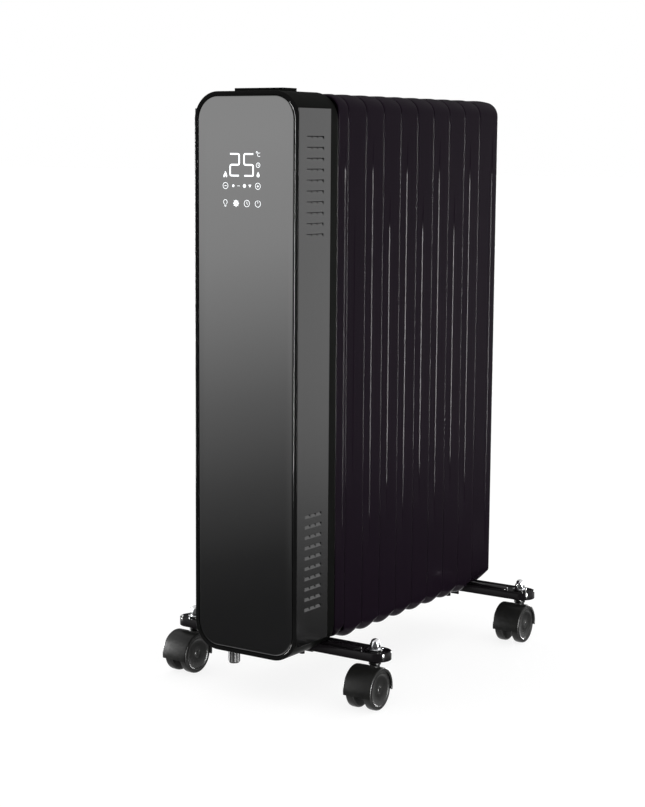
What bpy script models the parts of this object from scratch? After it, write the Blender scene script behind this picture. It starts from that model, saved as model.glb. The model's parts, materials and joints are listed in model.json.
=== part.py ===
"""Oil filled radiator heater on casters.

Ten pressed steel fins stand on two oil galleries behind a control housing with a glass front. Two
foot brackets under the fins carry four twin-wheel casters. Metres, +Z up, the front faces -Y, and
the origin is on the floor under the middle of the heater.
"""

from math import cos, pi, radians, sin

import bmesh
import bpy
from mathutils import Matrix, Vector

MM = 0.001
GAP = 0.3 * MM

# The whole heater.
BODY_WIDTH = 129 * MM
FRONT_HEIGHT = 580 * MM
DEPTH = 408.5 * MM
CLEARANCE = 49.5 * MM
FRONT_CORNER = 29 * MM

# Control housing, measured back from the front face.
BEZEL_WIDTH = 4.4 * MM
BEZEL_DEPTH = 1.6 * MM
GLASS_THICKNESS = 3 * MM
GLASS_SET_BACK = 0.6 * MM
HOUSING_FRONT = BEZEL_DEPTH + GAP
HOUSING_FACE = 8.3 * MM
HOUSING_REAR = 72 * MM
HOUSING_WALL = 3.2 * MM
PANEL_REAR = 58.5 * MM
PANEL_MARGIN = 17 * MM
PANEL_THICKNESS = 1.5 * MM
SHIELD_Y = 66 * MM
SHIELD_THICKNESS = 1.2 * MM

# Vents: two groups of slots in each side panel.
SLOT_COUNT = 10
SLOT_LENGTH = 30 * MM
SLOT_HEIGHT = 3.6 * MM
SLOT_FRONT = 16 * MM
SLOT_PITCH = 10.8 * MM
UPPER_SLOT_Z = 435 * MM
LOWER_SLOT_Z = 52 * MM

# Carry handle, let into the top of the housing.
HANDLE_WIDTH = 60 * MM
HANDLE_FRONT = 23 * MM
HANDLE_GRIP_REAR = 47 * MM
HANDLE_CUP_REAR = 67 * MM
HANDLE_RISE = 3.5 * MM
HANDLE_GRIP_DEPTH = 9 * MM
HANDLE_CUP_DEPTH = 24 * MM
HANDLE_WALL = 2 * MM

# Cable gland under the housing.
GLAND_X = -35.5 * MM
GLAND_Y = 30 * MM
GLAND_RADIUS = 6.6 * MM

# Tip-over pendulum, from its pin.
PENDULUM_X = 22 * MM
PENDULUM_Y = 44 * MM
PENDULUM_Z = 147 * MM
PENDULUM_PIN = 1.6 * MM

# Fins.
FIN_COUNT = 10
FIN_FIRST_FRONT = 73 * MM
FIN_SECOND_FRONT = 91.2 * MM
FIN_PITCH = 34.4 * MM
FIN_TOP = 578.9 * MM
FIN_BOTTOM = 5 * MM
END_FIN_BOTTOM = 9.7 * MM
FIN_TOP_CORNER = 18 * MM
FIN_LOW_CORNER = 14 * MM
FIN_SHEET = 1.2 * MM
FIN_GAP = 0.6 * MM
FIN_EDGE_ROUND = 0.9 * MM
FIN_BOTTOM_BULGE = 4.5 * MM
FIN_TOP_BULGE = 1.2 * MM
FIN_CORNER_STEPS = 3

# Oil galleries and the heating element.
GALLERY_RADIUS = 17 * MM
GALLERY_WALL = 1.5 * MM
GALLERY_FRONT = 60 * MM
GALLERY_REAR = 400 * MM
UPPER_GALLERY_Z = 534 * MM
LOWER_GALLERY_Z = 51 * MM
GALLERY_STEPS = 18
ELEMENT_RADIUS = 4.2 * MM
ELEMENT_SPREAD = 8 * MM
ELEMENT_REAR = 380 * MM

# Foot brackets.
BRACKET_HALF_LENGTH = 135.4 * MM
BRACKET_HALF_WIDTH = 15 * MM
BRACKET_FRONT_Y = 68.5 * MM
BRACKET_REAR_Y = 388 * MM
BRACKET_PLATE_Z = 7 * MM
BRACKET_SHEET = 1.8 * MM
BRACKET_LIP_Z = 9.2 * MM
BOSS_TOP_Z = 9.2 * MM
STEM_X = 117.6 * MM
RIB_HALF_WIDTH = 6 * MM
RIB_END_X = 101 * MM
CLAMP_BOLT_RADIUS = 3 * MM
CLAMP_FRONT_Y = 76 * MM

# Casters.
WHEEL_RADIUS = 21.2 * MM
WHEEL_INNER_X = 5.8 * MM
WHEEL_OUTER_X = 15.4 * MM
WHEEL_STEPS = 24
HOOD_STEPS = 12
PIN_STEPS = 12
PIN_GAP = 0.42 * MM
HOOD_RADIUS = 23.6 * MM
HOOD_INNER_RADIUS = 22.2 * MM
HOOD_HALF_WIDTH = 16.6 * MM
HOOD_SIDE_X = 15.8 * MM
HOOD_SIDE_OPENING = 19.9 * MM
HOOD_WEB_HALF = 2.8 * MM
HOOD_DROP = radians(10)
AXLE_RADIUS = 3 * MM
AXLE_HALF_LENGTH = 12 * MM
STEM_RADIUS = 3 * MM
SOCKET_RADIUS = 5.4 * MM
SOCKET_RING_RADIUS = 6.6 * MM
SOCKET_TOP_Z = -2.8 * MM
TRAIL = 13.7 * MM
SWIVEL_ANGLE = 2.0
AXLE_Z = WHEEL_RADIUS
STEM_BOTTOM = CLEARANCE - 20 * MM
NUT_BASE = BOSS_TOP_Z + CLEARANCE + GAP

# Turns that take +Z to each axis.
TURN_TO = {
    "X": Matrix.Rotation(pi / 2, 4, "Y"),
    "Y": Matrix.Rotation(-pi / 2, 4, "X"),
    "Z": Matrix.Identity(4),
}


def at(x, y, z):
    """World place of a point given across the heater, back from its front and up from its rim."""
    return Vector((x, y - DEPTH / 2, z + CLEARANCE))


def clear_scene():
    for obj in list(bpy.data.objects):
        bpy.data.objects.remove(obj, do_unlink=True)


def make_collection(name):
    collection = bpy.data.collections.new(name)
    bpy.context.scene.collection.children.link(collection)
    return collection


def make_finish(name, color, roughness, metallic=0.0):
    finish = bpy.data.materials.new(name)
    finish.use_nodes = True
    shader = finish.node_tree.nodes["Principled BSDF"]
    shader.inputs["Base Color"].default_value = (*color, 1.0)
    shader.inputs["Roughness"].default_value = roughness
    shader.inputs["Metallic"].default_value = metallic
    return finish


clear_scene()
PARTS = make_collection("oil_filled_radiator_heater")
CUTTERS = make_collection("cutters")
FINISHES = {
    "fin_enamel": make_finish("fin_enamel", (0.012, 0.010, 0.013), 0.35),
    "housing_plastic": make_finish("housing_plastic", (0.012, 0.012, 0.012), 0.45),
    "gloss_black": make_finish("gloss_black", (0.015, 0.015, 0.016), 0.08),
    "side_gloss": make_finish("side_gloss", (0.06, 0.06, 0.062), 0.2),
    "bracket_enamel": make_finish("bracket_enamel", (0.01, 0.01, 0.01), 0.2),
    "caster_plastic": make_finish("caster_plastic", (0.015, 0.015, 0.015), 0.4),
    "bright_steel": make_finish("bright_steel", (0.8, 0.8, 0.8), 0.12, 1.0),
    "raw_steel": make_finish("raw_steel", (0.45, 0.45, 0.46), 0.35, 1.0),
    "circuit_board": make_finish("circuit_board", (0.02, 0.12, 0.05), 0.5),
    "component_plastic": make_finish("component_plastic", (0.03, 0.05, 0.2), 0.5),
    "rubber": make_finish("rubber", (0.01, 0.01, 0.01), 0.8),
}


def add_object(name, mesh, finish, place=(0, 0, 0), parent=None):
    obj = bpy.data.objects.new(name, mesh)
    obj.location = place
    obj.parent = parent
    PARTS.objects.link(obj)
    if not mesh.materials:
        mesh.materials.append(FINISHES[finish])
    return obj


def add_cutter(name, bm):
    obj = bpy.data.objects.new(name, mesh_of(name, bm))
    obj.hide_render = True
    obj.display_type = "WIRE"
    CUTTERS.objects.link(obj)
    return obj


def mesh_of(name, bm):
    bmesh.ops.recalc_face_normals(bm, faces=bm.faces)
    mesh = bpy.data.meshes.new(name)
    bm.to_mesh(mesh)
    bm.free()
    return mesh


def combine(obj, other, operation):
    modifier = obj.modifiers.new(f"{operation.lower()}_{other.name}", "BOOLEAN")
    modifier.operation = operation
    modifier.solver = "EXACT"
    modifier.object = other


def settle(obj):
    """Turns an object with modifiers, or a curve, into a plain mesh and returns that mesh."""
    bpy.context.view_layer.update()
    graph = bpy.context.evaluated_depsgraph_get()
    mesh = bpy.data.meshes.new_from_object(obj.evaluated_get(graph), depsgraph=graph)
    bm = bmesh.new()
    bm.from_mesh(mesh)
    bmesh.ops.remove_doubles(bm, verts=bm.verts, dist=0.01 * MM)
    bm.to_mesh(mesh)
    bm.free()
    bpy.data.objects.remove(obj, do_unlink=True)
    return mesh


def box_shape(size):
    bm = bmesh.new()
    bmesh.ops.create_cube(bm, size=1, matrix=Matrix.Diagonal((*size, 1)))
    return bm


def add_box(bm, low, high):
    """Adds a box given by its lowest and highest corners."""
    low, high = Vector(low), Vector(high)
    placed = Matrix.Translation((low + high) / 2) @ Matrix.Diagonal((*(high - low), 1))
    bmesh.ops.create_cube(bm, size=1, matrix=placed)


def box_between(low, high):
    bm = bmesh.new()
    add_box(bm, low, high)
    return bm


def add_rod(bm, radius, start, length, axis, steps=24):
    """Adds a solid cylinder from its start along +axis."""
    turn = TURN_TO[axis]
    middle = Vector(start) + turn.to_3x3() @ Vector((0, 0, length / 2))
    bmesh.ops.create_cone(
        bm,
        cap_ends=True,
        segments=steps,
        radius1=radius,
        radius2=radius,
        depth=length,
        matrix=Matrix.Translation(middle) @ turn,
    )


def rod_shape(radius, start, length, axis, steps=24):
    bm = bmesh.new()
    add_rod(bm, radius, start, length, axis, steps)
    return bm


def turned_mesh(name, profile, steps, axis="Z"):
    """Turns a profile of (radius, height) points, listed top to bottom down its outer side."""
    bm = bmesh.new()
    points = [bm.verts.new((radius, 0, height)) for radius, height in profile]
    for first, second in zip(points, points[1:]):
        bm.edges.new((first, second))
    mesh = bpy.data.meshes.new(name)
    bm.to_mesh(mesh)
    bm.free()
    obj = bpy.data.objects.new(name, mesh)
    CUTTERS.objects.link(obj)
    screw = obj.modifiers.new("turn", "SCREW")
    screw.steps = steps
    screw.render_steps = steps
    screw.use_merge_vertices = True
    screw.merge_threshold = 0.01 * MM
    turned = settle(obj)
    turned.transform(TURN_TO[axis])
    return turned


def rounded_outline(width, height, top_radius, steps, low_radius=None):
    """Points of a rectangle with round corners about the origin, anticlockwise."""
    points = []
    for corner, (side, level) in enumerate(((1, -1), (1, 1), (-1, 1), (-1, -1))):
        radius = low_radius if low_radius and level < 0 else top_radius
        for step in range(steps + 1):
            angle = radians(-90 + 90 * corner + 90 * step / steps)
            across = side * (width / 2 - radius) + radius * cos(angle)
            points.append((across, level * (height / 2 - radius) + radius * sin(angle)))
    return points


def circle_outline(radius, centre=(0, 0), steps=24):
    turns = [2 * pi * step / steps for step in range(steps)]
    return [(centre[0] + radius * cos(t), centre[1] + radius * sin(t)) for t in turns]


def plate_mesh(name, outlines, thickness):
    """An upright plate facing Y: the first outline is its edge and the others are its holes."""
    curve = bpy.data.curves.new(name, "CURVE")
    curve.dimensions = "2D"
    curve.fill_mode = "BOTH"
    curve.extrude = thickness / 2
    for outline in outlines:
        spline = curve.splines.new("POLY")
        spline.points.add(len(outline) - 1)
        spline.use_cyclic_u = True
        for point, (across, up) in zip(spline.points, outline):
            point.co = (across, up, 0, 1)
    obj = bpy.data.objects.new(name, curve)
    CUTTERS.objects.link(obj)
    mesh = settle(obj)
    mesh.transform(Matrix.Rotation(pi / 2, 4, "X"))
    return mesh


def loft_mesh(name, rings):
    """A closed body through rings of equally many points, with its first and last ring capped."""
    bm = bmesh.new()
    rows = [[bm.verts.new(point) for point in ring] for ring in rings]
    for row, following in zip(rows, rows[1:]):
        for index in range(len(row)):
            ahead = (index + 1) % len(row)
            bm.faces.new((row[index], row[ahead], following[ahead], following[index]))
    bm.faces.new(rows[0])
    bm.faces.new(rows[-1])
    return mesh_of(name, bm)


def front_ring(inset, y, steps=6):
    """A ring inside the heater's front outline, upright at y behind the front face."""
    outline = rounded_outline(
        BODY_WIDTH - 2 * inset, FRONT_HEIGHT - 2 * inset, FRONT_CORNER - inset, steps
    )
    return [at(x, y, z + FRONT_HEIGHT / 2) for x, z in outline]


def build_front():
    """The bezel ring with the glass panel set in it."""
    corner_steps = 6
    bezel_outer = rounded_outline(BODY_WIDTH, FRONT_HEIGHT, FRONT_CORNER, corner_steps)
    bezel_inner = rounded_outline(
        BODY_WIDTH - 2 * BEZEL_WIDTH,
        FRONT_HEIGHT - 2 * BEZEL_WIDTH,
        FRONT_CORNER - BEZEL_WIDTH,
        corner_steps,
    )
    bezel = plate_mesh("front_bezel", [bezel_outer, bezel_inner], BEZEL_DEPTH)
    add_object("front_bezel", bezel, "gloss_black", at(0, BEZEL_DEPTH / 2, FRONT_HEIGHT / 2))

    edge = BEZEL_WIDTH + GAP
    chamfer = 0.6 * MM
    back = GLASS_SET_BACK + GLASS_THICKNESS
    rings = [
        front_ring(edge + chamfer, GLASS_SET_BACK),
        front_ring(edge, GLASS_SET_BACK + chamfer),
        front_ring(edge, back),
    ]
    add_object("front_glass", loft_mesh("front_glass", rings), "gloss_black")


def panel_span():
    """Lowest and highest level of a side panel, up from the rim."""
    return PANEL_MARGIN, FRONT_HEIGHT - PANEL_MARGIN


def housing_cutters():
    """Recesses for the side panels, windows behind their vents, and the other openings."""
    low, high = panel_span()
    half = BODY_WIDTH / 2
    recess = PANEL_THICKNESS + GAP
    cuts = bmesh.new()
    for side in (-1, 1):
        xs = sorted((side * (half - recess), side * (half + 5 * MM)))
        add_box(cuts, at(xs[0], 0, low - GAP), at(xs[1], PANEL_REAR + GAP, high + GAP))
    panels = add_cutter("panel_recesses", cuts)

    windows = bmesh.new()
    group_height = (SLOT_COUNT - 1) * SLOT_PITCH + SLOT_HEIGHT
    margin = 2 * MM
    for side in (-1, 1):
        for base in (LOWER_SLOT_Z, UPPER_SLOT_Z):
            xs = sorted((side * (half - 8 * MM), side * (half + 8 * MM)))
            add_box(
                windows,
                at(xs[0], SLOT_FRONT - margin, base - margin),
                at(xs[1], SLOT_FRONT + SLOT_LENGTH + margin, base + group_height + margin),
            )
    vents = add_cutter("vent_windows", windows)

    across = HANDLE_WIDTH / 2 + GAP
    handle = add_cutter(
        "handle_opening",
        box_between(
            at(-across, HANDLE_FRONT - GAP, FRONT_HEIGHT - 20 * MM),
            at(across, HANDLE_CUP_REAR + GAP, FRONT_HEIGHT + 20 * MM),
        ),
    )
    notch_front = BRACKET_FRONT_Y - BRACKET_HALF_WIDTH - GAP
    notch = add_cutter(
        "bracket_notch",
        box_between(
            at(-BODY_WIDTH, notch_front, -10 * MM),
            at(BODY_WIDTH, HOUSING_REAR + 10 * MM, BRACKET_LIP_Z + GAP),
        ),
    )
    return panels, vents, handle, notch


def build_housing():
    """The tub behind the bezel, open to the rear, with its side panels, shield and handle."""
    floor = HOUSING_FACE + HOUSING_WALL
    rings = [
        front_ring(HOUSING_WALL, HOUSING_FACE),
        front_ring(HOUSING_WALL, HOUSING_FRONT),
        front_ring(0, HOUSING_FRONT),
        front_ring(0, HOUSING_REAR),
        front_ring(HOUSING_WALL, HOUSING_REAR),
        front_ring(HOUSING_WALL, floor),
    ]
    shell = add_object("housing_shell", loft_mesh("housing_shell", rings), "housing_plastic")
    for cutter in housing_cutters():
        combine(shell, cutter, "DIFFERENCE")
    gland_hole = add_cutter(
        "gland_hole",
        rod_shape(GLAND_RADIUS + 0.5 * MM, at(GLAND_X, GLAND_Y, -10 * MM), 30 * MM, "Z", 16),
    )
    combine(shell, gland_hole, "DIFFERENCE")

    build_side_panels()
    build_shield()
    build_handle()
    build_gland()


def slot_cutters():
    """The vent slots of both side panels, cut through from side to side."""
    bm = bmesh.new()
    for side in (-1, 1):
        xs = sorted((side * (BODY_WIDTH / 2 - 5 * MM), side * (BODY_WIDTH / 2 + 5 * MM)))
        for base in (LOWER_SLOT_Z, UPPER_SLOT_Z):
            for number in range(SLOT_COUNT):
                bottom = base + number * SLOT_PITCH
                add_box(
                    bm,
                    at(xs[0], SLOT_FRONT, bottom),
                    at(xs[1], SLOT_FRONT + SLOT_LENGTH, bottom + SLOT_HEIGHT),
                )
    return add_cutter("vent_slots", bm)


def build_side_panels():
    """The two trim panels inlaid in the housing's sides."""
    low, high = panel_span()
    size = (PANEL_THICKNESS, PANEL_REAR - HOUSING_FRONT, high - low)
    mesh = mesh_of("side_panel", box_shape(size))
    slots = slot_cutters()
    for name, side in (("side_panel_left", -1), ("side_panel_right", 1)):
        across = side * (BODY_WIDTH - PANEL_THICKNESS) / 2
        place = at(across, (HOUSING_FRONT + PANEL_REAR) / 2, (low + high) / 2)
        combine(add_object(name, mesh, "side_gloss", place), slots, "DIFFERENCE")


def build_shield():
    """The sheet steel wall that keeps the fins' heat out of the housing."""
    inset = HOUSING_WALL + GAP
    edge = rounded_outline(
        BODY_WIDTH - 2 * inset, FRONT_HEIGHT - 2 * inset, FRONT_CORNER - inset, 6
    )
    holes = [
        circle_outline(GALLERY_RADIUS + 0.8 * MM, (0, level - FRONT_HEIGHT / 2), GALLERY_STEPS)
        for level in (LOWER_GALLERY_Z, UPPER_GALLERY_Z)
    ]
    mesh = plate_mesh("rear_shield", [edge, *holes], SHIELD_THICKNESS)
    shield = add_object("rear_shield", mesh, "raw_steel", at(0, SHIELD_Y, FRONT_HEIGHT / 2))
    clear = add_cutter(
        "shield_trim",
        box_between(
            at(-BODY_WIDTH, SHIELD_Y - 5 * MM, -10 * MM),
            at(BODY_WIDTH, SHIELD_Y + 5 * MM, BRACKET_LIP_Z + 2 * MM),
        ),
    )
    combine(shield, clear, "DIFFERENCE")
    cup = HANDLE_WIDTH / 2 + 1 * MM
    relief = add_cutter(
        "shield_cup_relief",
        box_between(
            at(-cup, SHIELD_Y - 5 * MM, FRONT_HEIGHT - HANDLE_CUP_DEPTH - 1 * MM),
            at(cup, SHIELD_Y + 5 * MM, FRONT_HEIGHT + 10 * MM),
        ),
    )
    combine(shield, relief, "DIFFERENCE")


def build_handle():
    """A cup let into the housing's top, with a grip bar across its front half."""
    top = FRONT_HEIGHT + HANDLE_RISE
    floor = FRONT_HEIGHT - HANDLE_CUP_DEPTH
    half = HANDLE_WIDTH / 2
    shape = box_between(at(-half, HANDLE_FRONT, floor), at(half, HANDLE_CUP_REAR, top))
    handle = add_object("carry_handle", mesh_of("carry_handle", shape), "housing_plastic")
    inside = half - HANDLE_WALL
    pocket = bmesh.new()
    add_box(
        pocket,
        at(-inside, HANDLE_FRONT + HANDLE_WALL, floor + HANDLE_WALL),
        at(inside, HANDLE_CUP_REAR - HANDLE_WALL, FRONT_HEIGHT - HANDLE_GRIP_DEPTH),
    )
    combine(handle, add_cutter("finger_pocket", pocket), "DIFFERENCE")
    mouth = box_between(
        at(-inside, HANDLE_GRIP_REAR, FRONT_HEIGHT - HANDLE_GRIP_DEPTH - 3 * MM),
        at(inside, HANDLE_CUP_REAR - HANDLE_WALL, top + 10 * MM),
    )
    combine(handle, add_cutter("pocket_mouth", mouth), "DIFFERENCE")
    lowered = box_between(
        at(-half - 5 * MM, HANDLE_GRIP_REAR + 0.1 * MM, FRONT_HEIGHT - 0.4 * MM),
        at(half + 5 * MM, HANDLE_CUP_REAR + 5 * MM, top + 5 * MM),
    )
    combine(handle, add_cutter("handle_rear_step", lowered), "DIFFERENCE")


def build_gland():
    """The cable gland that stands out of the housing's underside."""
    profile = [
        (0, 10 * MM),
        (GLAND_RADIUS - 1 * MM, 10 * MM),
        (GLAND_RADIUS, 8 * MM),
        (GLAND_RADIUS, -19 * MM),
        (GLAND_RADIUS - 1.5 * MM, -20.5 * MM),
        (3.4 * MM, -20.5 * MM),
        (3.4 * MM, -4 * MM),
        (0, -4 * MM),
    ]
    mesh = turned_mesh("cord_gland", profile, 16)
    add_object("cord_gland", mesh, "rubber", at(GLAND_X, GLAND_Y, 0))


def fin_ring(depth, bottom, share, inset):
    """One ring round a fin. share runs from 0 at its front edge to 1 at its rear edge."""
    swell = sin(pi * share)
    edge = inset + FIN_EDGE_ROUND * (1 - min(1.0, 5 * min(share, 1 - share)))
    width = BODY_WIDTH - 2 * edge
    height = FIN_TOP - bottom - 2 * edge
    middle = (FIN_TOP + bottom) / 2
    corners = (FIN_TOP_CORNER - edge, FIN_CORNER_STEPS, FIN_LOW_CORNER - edge)
    ring = []
    for x, z in rounded_outline(width, height, *corners):
        below = max(0.0, (-z - height / 2 + FIN_LOW_CORNER) / FIN_LOW_CORNER)
        above = max(0.0, (z - height / 2 + FIN_TOP_CORNER) / FIN_TOP_CORNER)
        z += FIN_BOTTOM_BULGE * (1 - swell) * below
        z -= FIN_TOP_BULGE * (1 - swell) * above
        ring.append(Vector((x, depth * share, z + middle + CLEARANCE)))
    return ring


def fin_mesh(depth, bottom):
    """A pressed fin: a web across its rear and a rim that reaches forward to the fin before it."""
    shares = (1.0, 0.72, 0.28, 0.0)
    web = FIN_SHEET / depth
    outer = [fin_ring(depth, bottom, share, 0) for share in shares]
    inner = [fin_ring(depth, bottom, share, FIN_SHEET) for share in reversed(shares[1:])]
    inner.append(fin_ring(depth, bottom, 1 - web, FIN_SHEET))
    return loft_mesh("fin", outer + inner)


def build_fins():
    gallery_holes = bmesh.new()
    start = 50 * MM
    for level in (LOWER_GALLERY_Z, UPPER_GALLERY_Z):
        add_rod(
            gallery_holes,
            GALLERY_RADIUS + 0.7 * MM,
            at(0, start, level),
            GALLERY_REAR + 2 * MM - start,
            "Y",
            GALLERY_STEPS,
        )
    galleries = add_cutter("gallery_holes", gallery_holes)
    bolts = bmesh.new()
    for y in (CLAMP_FRONT_Y, BRACKET_REAR_Y):
        add_rod(bolts, CLAMP_BOLT_RADIUS + 0.6 * MM, at(clamp_x(), y, -5 * MM), 30 * MM, "Z", 16)
    bolt_holes = add_cutter("clamp_bolt_holes", bolts)

    fronts = [FIN_FIRST_FRONT]
    fronts += [FIN_SECOND_FRONT + number * FIN_PITCH for number in range(FIN_COUNT - 1)]
    rears = [*fronts[1:], DEPTH + FIN_GAP / 2]
    shared = fin_mesh(FIN_PITCH - FIN_GAP, FIN_BOTTOM)
    for number, (front, rear) in enumerate(zip(fronts, rears), start=1):
        ends = number in (1, FIN_COUNT)
        mesh = fin_mesh(rear - front - FIN_GAP, END_FIN_BOTTOM) if ends else shared
        name = f"fin_{number:02d}"
        fin = add_object(name, mesh, "fin_enamel", (0, front + FIN_GAP / 2 - DEPTH / 2, 0))
        combine(fin, galleries, "DIFFERENCE")
        if ends:
            combine(fin, bolt_holes, "DIFFERENCE")


def gallery_mesh(name):
    """A tube along Y, closed at its rear end and open at its front."""
    length = GALLERY_REAR - GALLERY_FRONT
    bore = GALLERY_RADIUS - GALLERY_WALL
    profile = [
        (0, length),
        (GALLERY_RADIUS, length),
        (GALLERY_RADIUS, 0),
        (bore, 0),
        (bore, length - GALLERY_WALL),
        (0, length - GALLERY_WALL),
    ]
    return turned_mesh(name, profile, GALLERY_STEPS, axis="Y")


def build_oil_circuit():
    """The two galleries that join the fins, the immersed element and the plugs of both."""
    mesh = gallery_mesh("oil_gallery")
    for name, level in (
        ("upper_oil_gallery", UPPER_GALLERY_Z),
        ("lower_oil_gallery", LOWER_GALLERY_Z),
    ):
        add_object(name, mesh, "raw_steel", at(0, GALLERY_FRONT, level))

    curve = bpy.data.curves.new("heating_element", "CURVE")
    curve.dimensions = "3D"
    curve.bevel_depth = ELEMENT_RADIUS
    curve.bevel_resolution = 2
    curve.use_fill_caps = True
    start = GALLERY_FRONT + 2 * MM
    bend_y = ELEMENT_REAR - ELEMENT_SPREAD
    bend = [
        (ELEMENT_SPREAD * cos(turn), bend_y + ELEMENT_SPREAD * sin(turn))
        for turn in [pi * step / 8 for step in range(9)]
    ]
    route = [(ELEMENT_SPREAD, start), *bend, (-ELEMENT_SPREAD, start)]
    spline = curve.splines.new("POLY")
    spline.points.add(len(route) - 1)
    for point, (x, y) in zip(spline.points, route):
        point.co = (x, y - start, 0, 1)
    element = bpy.data.objects.new("heating_element", curve)
    curve.materials.append(FINISHES["raw_steel"])
    element.location = at(0, start, LOWER_GALLERY_Z)
    PARTS.objects.link(element)

    build_plugs()


def build_plugs():
    """The element's flange with its two terminals, and the plug of the filling opening."""
    body = bpy.data.objects.new("flange_blank", mesh_of("flange_blank", flange_base()))
    CUTTERS.objects.link(body)
    pins = bmesh.new()
    for side in (-1, 1):
        add_rod(pins, 2.2 * MM, (side * ELEMENT_SPREAD, -16 * MM, 0), 12 * MM, "Y", 12)
    terminals = add_cutter("terminal_pins", pins)
    combine(body, terminals, "UNION")
    mesh = settle(body)
    bpy.data.objects.remove(terminals, do_unlink=True)
    front = GALLERY_FRONT - GAP
    add_object("element_flange", mesh, "raw_steel", at(0, front, LOWER_GALLERY_Z))
    plug = mesh_of("oil_filler_plug", flange_base())
    add_object("oil_filler_plug", plug, "raw_steel", at(0, front, UPPER_GALLERY_Z))


def flange_base():
    return rod_shape(19 * MM, (0, -6 * MM, 0), 6 * MM, "Y", 6)


def build_electrics():
    """Boards and devices inside the housing."""
    board = 1.6 * MM
    blocks = (
        ("display_board", (84, 1.6, 92), (-4, 5.6, 500), "circuit_board"),
        ("power_board", (90, 1.6, 150), (0, 30, 300), "circuit_board"),
        ("relay", (20, 16, 28), (-20, 30 + board / MM / 2 + 8.4, 330), "component_plastic"),
        ("room_sensor", (6, 4, 10), (50, 24, 120), "component_plastic"),
        ("tip_over_switch", (30, 12, 22), (22, 36, 150), "component_plastic"),
    )
    for name, size, place, finish in blocks:
        shape = box_shape([side * MM for side in size])
        add_object(name, mesh_of(name, shape), finish, at(*[value * MM for value in place]))

    cutoff = rod_shape(8 * MM, (0, -7 * MM, 0), 7 * MM - GAP, "Y")
    place = at(0, SHIELD_Y - SHIELD_THICKNESS / 2, LOWER_GALLERY_Z + 34 * MM)
    add_object("thermal_cutoff", mesh_of("thermal_cutoff", cutoff), "bright_steel", place)
    build_pendulum()


def build_pendulum():
    """The weight that hangs on the tip-over switch's pin and opens it when the heater leans."""
    switch = bpy.data.objects["tip_over_switch"]
    pin = add_cutter(
        "tip_over_pin",
        rod_shape(PENDULUM_PIN, at(PENDULUM_X, 40 * MM, PENDULUM_Z), 10 * MM, "Y", 16),
    )
    combine(switch, pin, "UNION")
    thickness = 4 * MM
    ring = 4.5 * MM
    reach = 26 * MM
    eye_ring = rod_shape(ring, (0, -2 * MM, 0), thickness, "Y", 16)
    blank = bpy.data.objects.new("pendulum_blank", mesh_of("pendulum_blank", eye_ring))
    CUTTERS.objects.link(blank)
    arm = add_cutter(
        "pendulum_arm",
        box_between((-2 * MM, -1.8 * MM, -reach), (2 * MM, 1.8 * MM, 0)),
    )
    bob = add_cutter(
        "pendulum_bob", rod_shape(7 * MM, (0, -1.9 * MM, -reach), 3.8 * MM, "Y", 16)
    )
    eye = add_cutter(
        "pendulum_eye",
        rod_shape(PENDULUM_PIN + 0.35 * MM, (0, -10 * MM, 0), 20 * MM, "Y", 16),
    )
    combine(blank, arm, "UNION")
    combine(blank, bob, "UNION")
    combine(blank, eye, "DIFFERENCE")
    mesh = settle(blank)
    for helper in (arm, bob, eye):
        bpy.data.objects.remove(helper, do_unlink=True)
    place = at(PENDULUM_X, PENDULUM_Y + 1 * MM, PENDULUM_Z)
    add_object("tip_over_pendulum", mesh, "raw_steel", place)


def clamp_x():
    """How far the clamp bolt's leg stands from the heater's middle plane."""
    return GALLERY_RADIUS + CLAMP_BOLT_RADIUS + 0.8 * MM


def stadium_ring(inset, z):
    """A ring of the foot bracket: straight sides along X and a half circle at each end."""
    radius = BRACKET_HALF_WIDTH - inset
    reach = BRACKET_HALF_LENGTH - BRACKET_HALF_WIDTH
    steps = 8
    ring = []
    for side, first in ((1, -90), (-1, 90)):
        for step in range(steps + 1):
            angle = radians(first + 180 * step / steps)
            ring.append(Vector((side * reach + radius * cos(angle), radius * sin(angle), z)))
    return ring


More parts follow.
